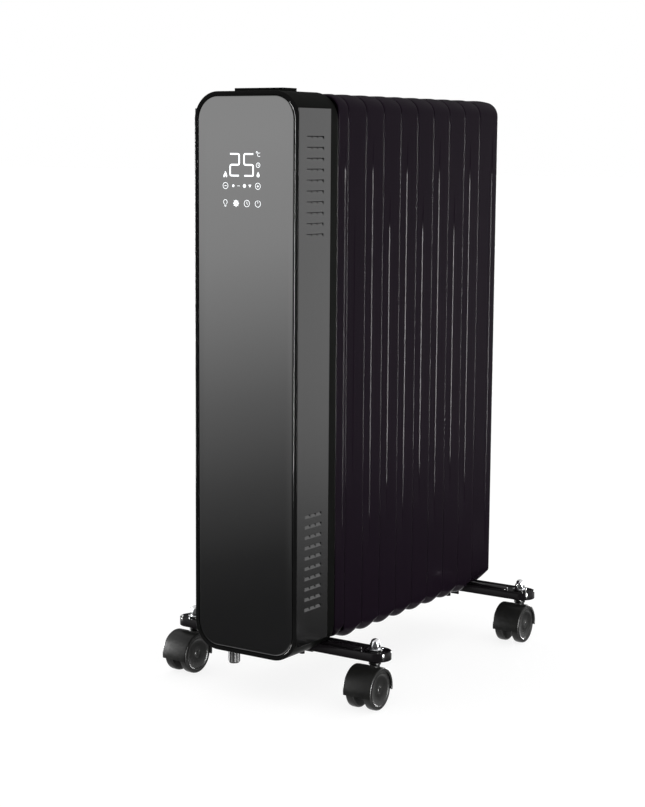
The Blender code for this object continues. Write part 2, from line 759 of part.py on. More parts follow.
def bracket_mesh():
    """A pressed steel channel with a rolled lip, a stiffening rib and a boss at each caster."""
    under = BRACKET_PLATE_Z - BRACKET_SHEET
    rings = [
        stadium_ring(BRACKET_SHEET, under),
        stadium_ring(BRACKET_SHEET, 0),
        stadium_ring(0, 0),
        stadium_ring(0, BRACKET_LIP_Z - 1 * MM),
        stadium_ring(1 * MM, BRACKET_LIP_Z),
        stadium_ring(2.2 * MM, BRACKET_LIP_Z),
        stadium_ring(3.6 * MM, BRACKET_PLATE_Z),
    ]
    blank = bpy.data.objects.new("bracket_blank", loft_mesh("bracket_blank", rings))
    CUTTERS.objects.link(blank)
    helpers = []
    bosses = bmesh.new()
    holes = bmesh.new()
    for side in (-1, 1):
        x = side * STEM_X
        base = under + 0.5 * MM
        add_rod(bosses, 8 * MM, (x, 0, base), BOSS_TOP_Z - base, "Z", PIN_STEPS)
        add_rod(holes, STEM_RADIUS + PIN_GAP, (x, 0, -5 * MM), 30 * MM, "Z", PIN_STEPS)
    rib = loft_mesh(
        "bracket_rib",
        [
            rib_ring(RIB_HALF_WIDTH, RIB_END_X, under + 0.5 * MM),
            rib_ring(RIB_HALF_WIDTH, RIB_END_X, BRACKET_PLATE_Z + 0.6 * MM),
            rib_ring(RIB_HALF_WIDTH - 2 * MM, RIB_END_X - 2 * MM, BRACKET_LIP_Z),
        ],
    )
    rib_obj = bpy.data.objects.new("bracket_rib", rib)
    CUTTERS.objects.link(rib_obj)
    for shape, operation in ((rib_obj, "UNION"), (add_cutter("bosses", bosses), "UNION")):
        combine(blank, shape, operation)
        helpers.append(shape)
    stems = add_cutter("stem_holes", holes)
    combine(blank, stems, "DIFFERENCE")
    helpers.append(stems)
    mesh = settle(blank)
    for helper in helpers:
        bpy.data.objects.remove(helper, do_unlink=True)
    return mesh


def rib_ring(half_width, end_x, z):
    """A ring of the bracket's rib, with round ends."""
    steps = 4
    reach = end_x - half_width
    ring = []
    for side, first in ((1, -90), (-1, 90)):
        for step in range(steps + 1):
            angle = radians(first + 180 * step / steps)
            x = side * reach + half_width * cos(angle)
            ring.append(Vector((x, half_width * sin(angle), z)))
    return ring


def build_brackets():
    """The two foot brackets, each held to the lower gallery by a hook bolt and a wing nut."""
    mesh = bracket_mesh()
    for place, y, clamp_y in (
        ("front", BRACKET_FRONT_Y, CLAMP_FRONT_Y),
        ("rear", BRACKET_REAR_Y, BRACKET_REAR_Y),
    ):
        name = f"{place}_foot_bracket"
        bracket = add_object(name, mesh.copy(), "bracket_enamel", at(0, y, 0))
        hole = add_cutter(
            f"{place}_clamp_hole",
            rod_shape(CLAMP_BOLT_RADIUS + GAP, at(clamp_x(), clamp_y, -5 * MM), 30 * MM, "Z", 16),
        )
        combine(bracket, hole, "DIFFERENCE")
        build_hook_bolt(f"{place}_hook_bolt", clamp_y)
        build_wing_nut(f"{place}_wing_nut", clamp_y)


def build_hook_bolt(name, y):
    """A bolt whose hook passes over the lower gallery."""
    curve = bpy.data.curves.new(name, "CURVE")
    curve.dimensions = "3D"
    curve.bevel_depth = CLAMP_BOLT_RADIUS
    curve.bevel_resolution = 2
    curve.use_fill_caps = True
    reach = clamp_x()
    steps = 12
    bend = [
        (reach * cos(pi * step / steps), reach * sin(pi * step / steps)) for step in range(steps + 1)
    ]
    foot = -LOWER_GALLERY_Z - 12 * MM
    route = [(reach, foot), *bend, (-reach, -8 * MM)]
    spline = curve.splines.new("POLY")
    spline.points.add(len(route) - 1)
    for point, (x, z) in zip(spline.points, route):
        point.co = (x, 0, z, 1)
    curve.materials.append(FINISHES["bright_steel"])
    bolt = bpy.data.objects.new(name, curve)
    bolt.location = at(0, y, LOWER_GALLERY_Z)
    PARTS.objects.link(bolt)


def build_wing_nut(name, y):
    """A wing nut under the bracket's plate."""
    top = BRACKET_PLATE_Z - BRACKET_SHEET - GAP
    body = rod_shape(5.2 * MM, (0, 0, -8 * MM), 8 * MM, "Z", PIN_STEPS)
    nut = bpy.data.objects.new(f"{name}_blank", mesh_of(name, body))
    CUTTERS.objects.link(nut)
    wings = bmesh.new()
    for side in (-1, 1):
        xs = sorted((side * 4.2 * MM, side * 14 * MM))
        add_box(wings, (xs[0], -1.2 * MM, -13 * MM), (xs[1], 1.2 * MM, -4 * MM))
    wing = add_cutter(f"{name}_wings", wings)
    bore = rod_shape(CLAMP_BOLT_RADIUS + PIN_GAP, (0, 0, -20 * MM), 40 * MM, "Z", PIN_STEPS)
    hole = add_cutter(f"{name}_bore", bore)
    combine(nut, wing, "UNION")
    combine(nut, hole, "DIFFERENCE")
    mesh = settle(nut)
    for helper in (wing, hole):
        bpy.data.objects.remove(helper, do_unlink=True)
    add_object(name, mesh, "bright_steel", at(clamp_x(), y, top))


def arc_prism(radius, low_x, high_x, drop, overshoot=0.0):
    """A thick half disc on the axle's axis, cut off below the axle by an angle at each side."""
    outline = []
    for step in range(HOOD_STEPS + 1):
        angle = -drop + (pi + 2 * drop) * step / HOOD_STEPS
        outline.append((radius * cos(angle), radius * sin(angle)))
    if overshoot:
        outline.append((-radius, -overshoot))
        outline.append((radius, -overshoot))
    bm = bmesh.new()
    rows = [
        [bm.verts.new((x, y - TRAIL, z + AXLE_Z)) for y, z in outline] for x in (low_x, high_x)
    ]
    count = len(outline)
    for index in range(count):
        ahead = (index + 1) % count
        bm.faces.new((rows[0][index], rows[0][ahead], rows[1][ahead], rows[1][index]))
    bm.faces.new(rows[0])
    bm.faces.new(rows[1])
    return bm


def hood_mesh():
    """The caster's hood: a cover over both wheels, a web between them and the stem's socket."""
    blank = bpy.data.objects.new(
        "hood_blank",
        mesh_of("hood_blank", arc_prism(HOOD_RADIUS, -HOOD_HALF_WIDTH, HOOD_HALF_WIDTH, HOOD_DROP)),
    )
    CUTTERS.objects.link(blank)
    helpers = []

    def use(shape, name, operation):
        helper = add_cutter(name, shape)
        combine(blank, helper, operation)
        helpers.append(helper)

    deep = 30 * MM
    for side in (-1, 1):
        well = sorted((side * HOOD_WEB_HALF, side * HOOD_SIDE_X))
        use(arc_prism(HOOD_INNER_RADIUS, *well, 0, deep), f"wheel_well_{side}", "DIFFERENCE")
        opening = sorted((side * (HOOD_SIDE_X - 1 * MM), side * (HOOD_HALF_WIDTH + 5 * MM)))
        use(arc_prism(HOOD_SIDE_OPENING, *opening, 0, deep), f"side_opening_{side}", "DIFFERENCE")
    socket_top = SOCKET_TOP_Z + CLEARANCE
    socket_bottom = STEM_BOTTOM - 2 * MM
    use(
        rod_shape(
            SOCKET_RADIUS,
            (0, 0, socket_bottom),
            socket_top - socket_bottom - 0.2 * MM,
            "Z",
            PIN_STEPS,
        ),
        "socket",
        "UNION",
    )
    ring = 2.6 * MM
    collar = rod_shape(SOCKET_RING_RADIUS, (0, 0, socket_top - ring), ring, "Z", PIN_STEPS)
    use(collar, "socket_ring", "UNION")
    half_boss = HOOD_WEB_HALF - 0.05 * MM
    boss = rod_shape(6.5 * MM, (-half_boss, -TRAIL, AXLE_Z), 2 * half_boss, "X", PIN_STEPS)
    use(boss, "axle_boss", "UNION")
    bore = STEM_RADIUS + PIN_GAP
    stem = rod_shape(bore, (0, 0, STEM_BOTTOM - GAP), 60 * MM, "Z", PIN_STEPS)
    use(stem, "stem_bore", "DIFFERENCE")
    axle = rod_shape(AXLE_RADIUS + PIN_GAP, (-10 * MM, -TRAIL, AXLE_Z), 20 * MM, "X", PIN_STEPS)
    use(axle, "axle_bore", "DIFFERENCE")
    mesh = settle(blank)
    for helper in helpers:
        bpy.data.objects.remove(helper, do_unlink=True)
    return mesh


def wheel_mesh():
    """A wheel with a crowned tread, a dished outer face and a blind bore. Its axis is X."""
    inner, outer, radius = WHEEL_INNER_X, WHEEL_OUTER_X, WHEEL_RADIUS
    bore = AXLE_RADIUS + PIN_GAP
    bottom = AXLE_HALF_LENGTH + GAP
    profile = [
        (0, outer - 1.2 * MM),
        (radius - 4.6 * MM, outer - 1.2 * MM),
        (radius - 3.6 * MM, outer),
        (radius - 1.2 * MM, outer),
        (radius, outer - 1.8 * MM),
        (radius, inner + 1.8 * MM),
        (radius - 1.2 * MM, inner),
        (bore, inner),
        (bore, bottom),
        (0, bottom),
    ]
    return turned_mesh("wheel", profile, WHEEL_STEPS, axis="X")


def stem_mesh():
    """The caster's steel stem, with a shoulder under the bracket. Its top goes into the nut."""
    shoulder_top = BRACKET_PLATE_Z - BRACKET_SHEET - GAP + CLEARANCE
    shoulder = 2.6 * MM
    top = NUT_BASE + 8 * MM
    profile = [
        (0, top),
        (STEM_RADIUS, top),
        (STEM_RADIUS, shoulder_top),
        (6 * MM, shoulder_top),
        (6 * MM, shoulder_top - shoulder),
        (STEM_RADIUS, shoulder_top - shoulder),
        (STEM_RADIUS, STEM_BOTTOM),
        (0, STEM_BOTTOM),
    ]
    return turned_mesh("stem", profile, PIN_STEPS)


def dome_nut_mesh():
    """A domed cap nut with a flange, blind bored from below."""
    flange = 1.4 * MM
    hexagon = 5.5 * MM
    blank = bpy.data.objects.new(
        "nut_blank", mesh_of("nut_blank", rod_shape(8 * MM, (0, 0, 0), flange, "Z", PIN_STEPS))
    )
    CUTTERS.objects.link(blank)
    hexagon_shape = add_cutter(
        "nut_hexagon", rod_shape(5.8 * MM, (0, 0, flange - 0.3 * MM), hexagon, "Z", 6)
    )
    dome_radius = 4.8 * MM
    base = flange + hexagon - 0.8 * MM
    rise = base + 1 * MM
    turns = [pi / 2 * step / 3 for step in range(4)]
    arc = [(dome_radius * sin(turn), rise + dome_radius * cos(turn)) for turn in turns]
    profile = [*arc, (dome_radius, base), (0, base)]
    dome = bpy.data.objects.new("nut_dome", turned_mesh("nut_dome", profile, PIN_STEPS))
    CUTTERS.objects.link(dome)
    bore = add_cutter(
        "nut_bore", rod_shape(STEM_RADIUS + PIN_GAP, (0, 0, -5 * MM), 13 * MM + GAP, "Z", PIN_STEPS)
    )
    combine(blank, hexagon_shape, "UNION")
    combine(blank, dome, "UNION")
    combine(blank, bore, "DIFFERENCE")
    mesh = settle(blank)
    for helper in (hexagon_shape, dome, bore):
        bpy.data.objects.remove(helper, do_unlink=True)
    return mesh


def build_casters():
    """Four casters. Each one's empty stands on the floor on its swivel axis."""
    hood, wheel, stem, nut = hood_mesh(), wheel_mesh(), stem_mesh(), dome_nut_mesh()
    opposite = wheel.copy()
    opposite.transform(Matrix.Rotation(pi, 4, "Z"))
    pin = rod_shape(AXLE_RADIUS, (-AXLE_HALF_LENGTH, 0, 0), 2 * AXLE_HALF_LENGTH, "X", PIN_STEPS)
    axle = mesh_of("axle", pin)
    for end, y in (("front", BRACKET_FRONT_Y), ("rear", BRACKET_REAR_Y)):
        for hand, side in (("left", -1), ("right", 1)):
            corner = f"{end}_{hand}"
            foot = at(side * STEM_X, y, -CLEARANCE)
            swivel = bpy.data.objects.new(f"{corner}_swivel_axis", None)
            swivel.location = foot
            swivel.rotation_euler = (0, 0, radians(side * SWIVEL_ANGLE))
            PARTS.objects.link(swivel)
            hub = (0, -TRAIL, AXLE_Z)
            add_object(f"{corner}_dome_nut", nut, "bright_steel", foot + Vector((0, 0, NUT_BASE)))
            add_object(f"{corner}_caster_stem", stem, "raw_steel", foot)
            add_object(f"{corner}_caster_hood", hood, "caster_plastic", parent=swivel)
            add_object(f"{corner}_caster_axle", axle, "raw_steel", hub, swivel)
            inner, outer = (opposite, wheel) if side > 0 else (wheel, opposite)
            add_object(f"{corner}_inner_wheel", inner, "caster_plastic", hub, swivel)
            add_object(f"{corner}_outer_wheel", outer, "caster_plastic", hub, swivel)


build_front()
build_housing()
build_fins()
build_oil_circuit()
build_electrics()
build_brackets()
build_casters()
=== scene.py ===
"""Looks of the oil filled radiator heater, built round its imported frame.

Metres, +Z up, the front faces -Y, and the origin is on the floor under the middle of the heater.
"""

import json
import logging
from dataclasses import dataclass
from enum import Enum
from math import atan2, cos, pi, radians, sin
from typing import Sequence

import bmesh
import bpy
from mathutils import Matrix, Vector

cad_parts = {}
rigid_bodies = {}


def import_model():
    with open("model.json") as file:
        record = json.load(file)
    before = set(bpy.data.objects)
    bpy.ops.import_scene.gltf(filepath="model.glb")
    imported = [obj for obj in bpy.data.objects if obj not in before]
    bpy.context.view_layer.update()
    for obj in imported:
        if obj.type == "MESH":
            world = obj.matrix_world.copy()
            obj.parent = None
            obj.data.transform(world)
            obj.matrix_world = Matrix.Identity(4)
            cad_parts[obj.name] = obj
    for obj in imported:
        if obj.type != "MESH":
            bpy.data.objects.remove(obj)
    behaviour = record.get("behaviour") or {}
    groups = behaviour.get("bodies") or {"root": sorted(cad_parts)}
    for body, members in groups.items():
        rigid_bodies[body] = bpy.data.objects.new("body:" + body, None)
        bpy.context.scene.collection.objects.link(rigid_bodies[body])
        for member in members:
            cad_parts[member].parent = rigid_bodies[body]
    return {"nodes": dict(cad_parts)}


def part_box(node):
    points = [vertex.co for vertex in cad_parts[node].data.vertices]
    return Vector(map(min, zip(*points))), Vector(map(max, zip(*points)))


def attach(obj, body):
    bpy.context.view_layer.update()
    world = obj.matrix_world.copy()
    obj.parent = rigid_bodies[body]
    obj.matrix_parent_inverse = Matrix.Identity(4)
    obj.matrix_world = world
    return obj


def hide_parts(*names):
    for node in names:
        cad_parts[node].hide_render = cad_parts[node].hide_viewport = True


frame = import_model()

logging.basicConfig(level=logging.INFO, format="%(message)s")
LOG = logging.getLogger("heater")

MM = 0.001
HEATER = "heater"
PATCH_DETAIL = 5.0
PATCH_RANGE = (0.3, 0.7)
GLOSS_DETAIL = 6.0
GLOSS_RANGE = (0.25, 0.75)
GLOSS_FINENESS = 3.1
GRAIN_DETAIL = 3.0
BEVEL_STEPS = 3
BEVEL_ANGLE = 35

Color = tuple[float, float, float]
Point = tuple[float, float]
Ring = list[Vector]
Socket = bpy.types.NodeSocket


class Slot(Enum):
    """The finishes that the record names."""

    FIN_ENAMEL = "fin_enamel"
    HOUSING_PLASTIC = "housing_plastic"
    BEZEL_GLOSS = "bezel_gloss"
    FRONT_GLASS = "front_glass"
    SIDE_GLOSS = "side_gloss"
    RAW_STEEL = "raw_steel"
    ELEMENT_STEEL = "element_steel"
    BRASS = "brass"
    CIRCUIT_BOARD = "circuit_board"
    RELAY_PLASTIC = "relay_plastic"
    GLAND_RUBBER = "gland_rubber"
    BRACKET_ENAMEL = "bracket_enamel"
    BRIGHT_STEEL = "bright_steel"
    CHROME = "chrome"
    CASTER_PLASTIC = "caster_plastic"
    WHEEL_PLASTIC = "wheel_plastic"


class Side(Enum):
    """The heater's two flanks, with the sign of X on each."""

    LEFT = -1
    RIGHT = 1


class Axis(Enum):
    """The axis that a turned shape stands along, with the turn that takes +Z to it."""

    X = (pi / 2, "Y")
    Z = (0.0, "Z")

    @property
    def turn(self) -> Matrix:
        """The rotation that takes +Z to this axis."""
        return Matrix.Rotation(self.value[0], 4, self.value[1])


# ---------------------------------------------------------------- finishes


class MaterialSheet:
    """A material whose nodes are laid out by short calls."""

    def __init__(self, name: str) -> None:
        """Starts an empty sheet.

        Args:
            name: The material's name.
        """
        self.material = bpy.data.materials.new(name)
        self.material.use_nodes = True
        self.nodes = self.material.node_tree.nodes
        self.shader = self.nodes["Principled BSDF"]
        self.place = self.nodes.new("ShaderNodeTexCoord").outputs["Object"]

    def link(self, source: Socket, target: Socket) -> None:
        """Joins two sockets."""
        self.material.node_tree.links.new(source, target)

    def stretched(self, stretch: Color) -> Socket:
        """The place on the piece, drawn out along the axes.

        Args:
            stretch: The scale along X, Y and Z.

        Returns:
            The socket of the drawn out place.
        """
        mapping = self.nodes.new("ShaderNodeMapping")
        mapping.inputs["Scale"].default_value = stretch
        self.link(self.place, mapping.inputs["Vector"])
        return mapping.outputs["Vector"]

    def noise(self, scale: float, detail: float, stretch: Color) -> Socket:
        """A cloudy pattern.

        Args:
            scale: Patches in a metre.
            detail: How many finer layers it has.
            stretch: The scale along X, Y and Z.

        Returns:
            The socket of the pattern's value.
        """
        noise = self.nodes.new("ShaderNodeTexNoise")
        noise.inputs["Scale"].default_value = scale
        noise.inputs["Detail"].default_value = detail
        self.link(self.stretched(stretch), noise.inputs["Vector"])
        return noise.outputs["Fac"]

    def ranged(
        self, value: Socket, source: Point, target: Point
    ) -> Socket:
        """A value taken from one range to another.

        Args:
            value: The socket to read.
            source: The range that it has.
            target: The range that it gets.

        Returns:
            The socket of the new value.
        """
        node = self.nodes.new("ShaderNodeMapRange")
        for name, number in zip(
            ("From Min", "From Max", "To Min", "To Max"), (*source, *target)
        ):
            node.inputs[name].default_value = number
        self.link(value, node.inputs["Value"])
        return node.outputs["Result"]

    def blended(
        self, factor: Socket, first: Color, second: Color
    ) -> Socket:
        """A colour between two.

        Args:
            factor: The socket that says how far towards the second.
            first: The colour at 0.
            second: The colour at 1.

        Returns:
            The socket of the colour.
        """
        node = self.nodes.new("ShaderNodeMix")
        node.data_type = "RGBA"
        self.link(factor, node.inputs[0])
        node.inputs[6].default_value = (*first, 1.0)
        node.inputs[7].default_value = (*second, 1.0)
        return node.outputs[2]

    def relief(self, height: Socket, depth: float) -> None:
        """Raises the surface by a pattern.

        Args:
            height: The socket of the pattern, from 0 to 1.
            depth: The height of the pattern, in metres.
        """
        bump = self.nodes.new("ShaderNodeBump")
        bump.inputs["Strength"].default_value = 1.0
        bump.inputs["Distance"].default_value = depth
        self.link(height, bump.inputs["Height"])
        self.link(bump.outputs["Normal"], self.shader.inputs["Normal"])


@dataclass(frozen=True)
class Finish:
    """A finish with uneven colour and gloss and a fine grain."""

    name: str
    color: Color
    patch_color: Color
    roughness: Point
    patch_scale: float
    grain_scale: float
    grain_depth: float
    metallic: float = 0.0
    reflectance: float = 0.5
    ior: float = 1.5
    stretch: Color = (1.0, 1.0, 1.0)

    def make(self) -> bpy.types.Material:
        """Lays out the material.

        Returns:
            The finished material.
        """
        sheet = MaterialSheet(self.name)
        inputs = sheet.shader.inputs
        inputs["Metallic"].default_value = self.metallic
        inputs["Specular IOR Level"].default_value = self.reflectance
        inputs["IOR"].default_value = self.ior
        patches = sheet.noise(self.patch_scale, PATCH_DETAIL, self.stretch)
        shade = sheet.ranged(patches, PATCH_RANGE, (0.0, 1.0))
        sheet.link(self.colored(sheet, shade), inputs["Base Color"])
        gloss = sheet.noise(self.patch_scale * GLOSS_FINENESS, GLOSS_DETAIL, self.stretch)
        sheet.link(sheet.ranged(gloss, GLOSS_RANGE, self.roughness), inputs["Roughness"])
        sheet.relief(self.grained(sheet), self.grain_depth)
        return sheet.material

    def colored(
        self, sheet: MaterialSheet, shade: Socket
    ) -> Socket:
        """The colour, from the pattern of patches.

        Args:
            sheet: The sheet to draw on.
            shade: The socket of the patches, from 0 to 1.

        Returns:
            The socket of the colour.
        """
        return sheet.blended(shade, self.color, self.patch_color)

    def grained(self, sheet: MaterialSheet) -> Socket:
        """The pattern of the fine relief.

        Args:
            sheet: The sheet to draw on.

        Returns:
            The socket of the relief's height.
        """
        return sheet.noise(self.grain_scale, GRAIN_DETAIL, self.stretch)


@dataclass(frozen=True)
class CellFinish(Finish):
    """A finish whose grain is made of small round cells, as on spark-eroded plastic."""

    def grained(self, sheet: MaterialSheet) -> Socket:
        """The cells' height.

        Args:
            sheet: The sheet to draw on.

        Returns:
            The socket of the relief's height.
        """
        cells = sheet.nodes.new("ShaderNodeTexVoronoi")
        cells.feature = "SMOOTH_F1"
        cells.inputs["Scale"].default_value = self.grain_scale
        sheet.link(sheet.place, cells.inputs["Vector"])
        return cells.outputs["Distance"]


@dataclass(frozen=True)
class BoardFinish(Finish):
    """A circuit board: lacquer over copper tracks laid in a grid."""

    track_color: Color = (0.05, 0.22, 0.09)
    track_scale: float = 420.0
    track_width: float = 0.12

    def colored(
        self, sheet: MaterialSheet, shade: Socket
    ) -> Socket:
        """The lacquer's colour with the tracks under it, which shade by brick and not by patch.

        Args:
            sheet: The sheet to draw on.
            shade: The socket of the patches, which the board has no use for.

        Returns:
            The socket of the colour.
        """
        tracks = sheet.nodes.new("ShaderNodeTexBrick")
        tracks.inputs["Scale"].default_value = self.track_scale
        tracks.inputs["Mortar Size"].default_value = self.track_width
        tracks.inputs["Color1"].default_value = (*self.color, 1.0)
        tracks.inputs["Color2"].default_value = (*self.patch_color, 1.0)
        tracks.inputs["Mortar"].default_value = (*self.track_color, 1.0)
        turned = sheet.nodes.new("ShaderNodeMapping")
        turned.inputs["Rotation"].default_value = (pi / 2, 0.0, 0.0)
        sheet.link(sheet.place, turned.inputs["Vector"])
        sheet.link(turned.outputs["Vector"], tracks.inputs["Vector"])
        return tracks.outputs["Color"]


@dataclass(frozen=True)
class LampFinish(Finish):
    """A finish that is lit from behind."""

    strength: float = 1.0
    glow: Color = (0.93, 0.97, 1.0)

    def make(self) -> bpy.types.Material:
        """Lays out the material, with its light.

        Returns:
            The finished material.
        """
        material = super().make()
        shader = material.node_tree.nodes["Principled BSDF"]
        shader.inputs["Emission Color"].default_value = (*self.glow, 1.0)
        shader.inputs["Emission Strength"].default_value = self.strength
        return material


FINISHES: dict[Slot, Finish] = {
    Slot.FIN_ENAMEL: Finish(
        "fin_enamel", (0.0080, 0.0050, 0.0088), (0.0090, 0.0056, 0.0098),
        (0.13, 0.17), 9.0, 900.0, 0.000001, reflectance=0.010,
    ),
    Slot.HOUSING_PLASTIC: CellFinish(
        "housing_plastic", (0.0050, 0.0052, 0.0048), (0.0060, 0.0063, 0.0058),
        (0.26, 0.34), 30.0, 1500.0, 0.000006, reflectance=0.005,
    ),
    Slot.BEZEL_GLOSS: Finish(
        "bezel_gloss", (0.005, 0.005, 0.005), (0.007, 0.007, 0.007),
        (0.10, 0.14), 25.0, 300.0, 0.000002, reflectance=0.010,
    ),
    Slot.FRONT_GLASS: Finish(
        "front_glass", (0.0020, 0.0021, 0.0023), (0.0028, 0.0029, 0.0031),
        (0.035, 0.055), 14.0, 60.0, 0.000001, reflectance=1.0, ior=1.8,
    ),
    Slot.SIDE_GLOSS: Finish(
        "side_gloss", (0.0028, 0.0028, 0.0029), (0.0034, 0.0034, 0.0035),
        (0.18, 0.20), 18.0, 500.0, 0.000003, reflectance=0.75,
    ),
    Slot.RAW_STEEL: Finish(
        "raw_steel", (0.42, 0.42, 0.43), (0.50, 0.49, 0.48),
        (0.28, 0.45), 60.0, 1500.0, 0.00001, metallic=1.0, stretch=(1.0, 0.15, 1.0),
    ),
    Slot.ELEMENT_STEEL: Finish(
        "element_steel", (0.30, 0.28, 0.26), (0.38, 0.33, 0.27),
        (0.35, 0.55), 90.0, 1800.0, 0.000015, metallic=1.0,
    ),
    Slot.BRASS: Finish(
        "brass", (0.62, 0.44, 0.16), (0.55, 0.36, 0.12),
        (0.22, 0.36), 120.0, 2000.0, 0.000008, metallic=1.0,
    ),
    Slot.CIRCUIT_BOARD: BoardFinish(
        "circuit_board", (0.012, 0.090, 0.035), (0.016, 0.105, 0.040),
        (0.30, 0.42), 80.0, 900.0, 0.00003,
    ),
    Slot.RELAY_PLASTIC: CellFinish(
        "relay_plastic", (0.015, 0.035, 0.16), (0.020, 0.042, 0.18),
        (0.35, 0.48), 90.0, 2600.0, 0.000015,
    ),
    Slot.GLAND_RUBBER: CellFinish(
        "gland_rubber", (0.010, 0.010, 0.010), (0.016, 0.016, 0.016),
        (0.45, 0.62), 140.0, 2400.0, 0.00004, reflectance=0.4,
    ),
    Slot.BRACKET_ENAMEL: Finish(
        "bracket_enamel", (0.007, 0.006, 0.007), (0.009, 0.008, 0.009),
        (0.09, 0.14), 60.0, 700.0, 0.000002, reflectance=0.15,
    ),
    Slot.BRIGHT_STEEL: Finish(
        "bright_steel", (0.60, 0.60, 0.60), (0.68, 0.68, 0.67),
        (0.16, 0.28), 150.0, 2200.0, 0.000006, metallic=1.0,
    ),
    Slot.CHROME: Finish(
        "chrome", (0.82, 0.83, 0.85), (0.88, 0.88, 0.89),
        (0.03, 0.07), 90.0, 1500.0, 0.000001, metallic=1.0,
    ),
    Slot.CASTER_PLASTIC: CellFinish(
        "caster_plastic", (0.0065, 0.0065, 0.0062), (0.0085, 0.0085, 0.0080),
        (0.28, 0.38), 120.0, 2600.0, 0.00001, reflectance=0.16,
    ),
    Slot.WHEEL_PLASTIC: CellFinish(
        "wheel_plastic", (0.0090, 0.0090, 0.0086), (0.0120, 0.0120, 0.0115),
        (0.26, 0.36), 110.0, 2400.0, 0.00001, reflectance=0.22,
    ),
}
SYMBOL_LIGHT = LampFinish(
    "symbol_light", (0.75, 0.78, 0.80), (0.85, 0.87, 0.88),
    (0.30, 0.40), 300.0, 4000.0, 0.000001, strength=0.95,
)


# ---------------------------------------------------------------- mesh making


class Sketch:
    """A mesh in the making. Its shapes are closed bodies, and it ends as a plain mesh."""

    def __init__(self) -> None:
        """Starts with nothing drawn."""
        self.bm = bmesh.new()

    def loft(self, rings: Sequence[Ring], closed: bool = False) -> "Sketch":
        """Adds a body through rings of equally many points.

        Args:
            rings: The rings in order.
            closed: Whether the last ring joins the first, with no caps.

        Returns:
            The sketch.
        """
        rows = [[self.bm.verts.new(point) for point in ring] for ring in rings]
        pairs = list(zip(rows, rows[1:]))
        if closed:
            pairs.append((rows[-1], rows[0]))
        count = len(rows[0])
        for row, following in pairs:
            for index in range(count):
                ahead = (index + 1) % count
                self.bm.faces.new((row[index], row[ahead], following[ahead], following[index]))
        if not closed:
            self.bm.faces.new(rows[0])
            self.bm.faces.new(rows[-1])
        return self

    def box(self, low: Vector, high: Vector) -> "Sketch":
        """Adds a box.

        Args:
            low: Its lowest corner.
            high: Its highest corner.

        Returns:
            The sketch.
        """
        placed = Matrix.Translation((low + high) / 2) @ Matrix.Diagonal((*(high - low), 1))
        bmesh.ops.create_cube(self.bm, size=1, matrix=placed)
        return self

    def turned(
        self, profile: Sequence[Point], steps: int, axis: Axis, place: Vector
    ) -> "Sketch":
        """Adds a body of revolution.

        Args:
            profile: Points of (radius, height), which start and end on the axis.
            steps: How many faces go round.
            axis: The axis it turns about.
            place: The point where its height is 0.

        Returns:
            The sketch.
        """
        put = Matrix.Translation(place) @ axis.turn
        ends = [self.bm.verts.new(put @ Vector((0, 0, profile[end][1]))) for end in (0, -1)]
        rows = []
        for radius, height in profile[1:-1]:
            turns = [2 * pi * step / steps for step in range(steps)]
            rows.append(
                [
                    self.bm.verts.new(put @ Vector((radius * cos(t), radius * sin(t), height)))
                    for t in turns
                ]
            )
        for index in range(steps):
            ahead = (index + 1) % steps
            self.bm.faces.new((ends[0], rows[0][index], rows[0][ahead]))
            self.bm.faces.new((ends[1], rows[-1][ahead], rows[-1][index]))
            for row, following in zip(rows, rows[1:]):
                self.bm.faces.new((row[index], following[index], following[ahead], row[ahead]))
        return self

    def take(self, mesh: bpy.types.Mesh) -> "Sketch":
        """Adds a mesh that is made already.

        Args:
            mesh: The mesh, which is copied in.

        Returns:
            The sketch.
        """
        self.bm.from_mesh(mesh)
        return self

    def mesh(self, name: str, soft_edge: float = 32.0) -> bpy.types.Mesh:
        """Ends the sketch.

        Args:
            name: The mesh's name.
            soft_edge: Edges that turn by fewer degrees than this are shaded smooth.

        Returns:
            The mesh, with its faces pointing outwards.
        """
        bmesh.ops.recalc_face_normals(self.bm, faces=self.bm.faces)
        mesh = bpy.data.meshes.new(name)
        self.bm.to_mesh(mesh)
        self.bm.free()
        mesh.shade_smooth()
        mesh.set_sharp_from_angle(angle=radians(soft_edge))
        return mesh


def rounded_outline(width: float, height: float, radius: float, steps: int) -> list[Point]:
    """Points of a rectangle with round corners about the origin, anticlockwise.

    Args:
        width: Its width.
        height: Its height.
        radius: Its corners' radius.
        steps: How many edges each corner has.

    Returns:
        The points.
    """
    points = []
    for corner, (side, level) in enumerate(((1, -1), (1, 1), (-1, 1), (-1, -1))):
        for step in range(steps + 1):
            angle = radians(-90 + 90 * corner + 90 * step / steps)
            across = side * (width / 2 - radius) + radius * cos(angle)
            points.append((across, level * (height / 2 - radius) + radius * sin(angle)))
    return points


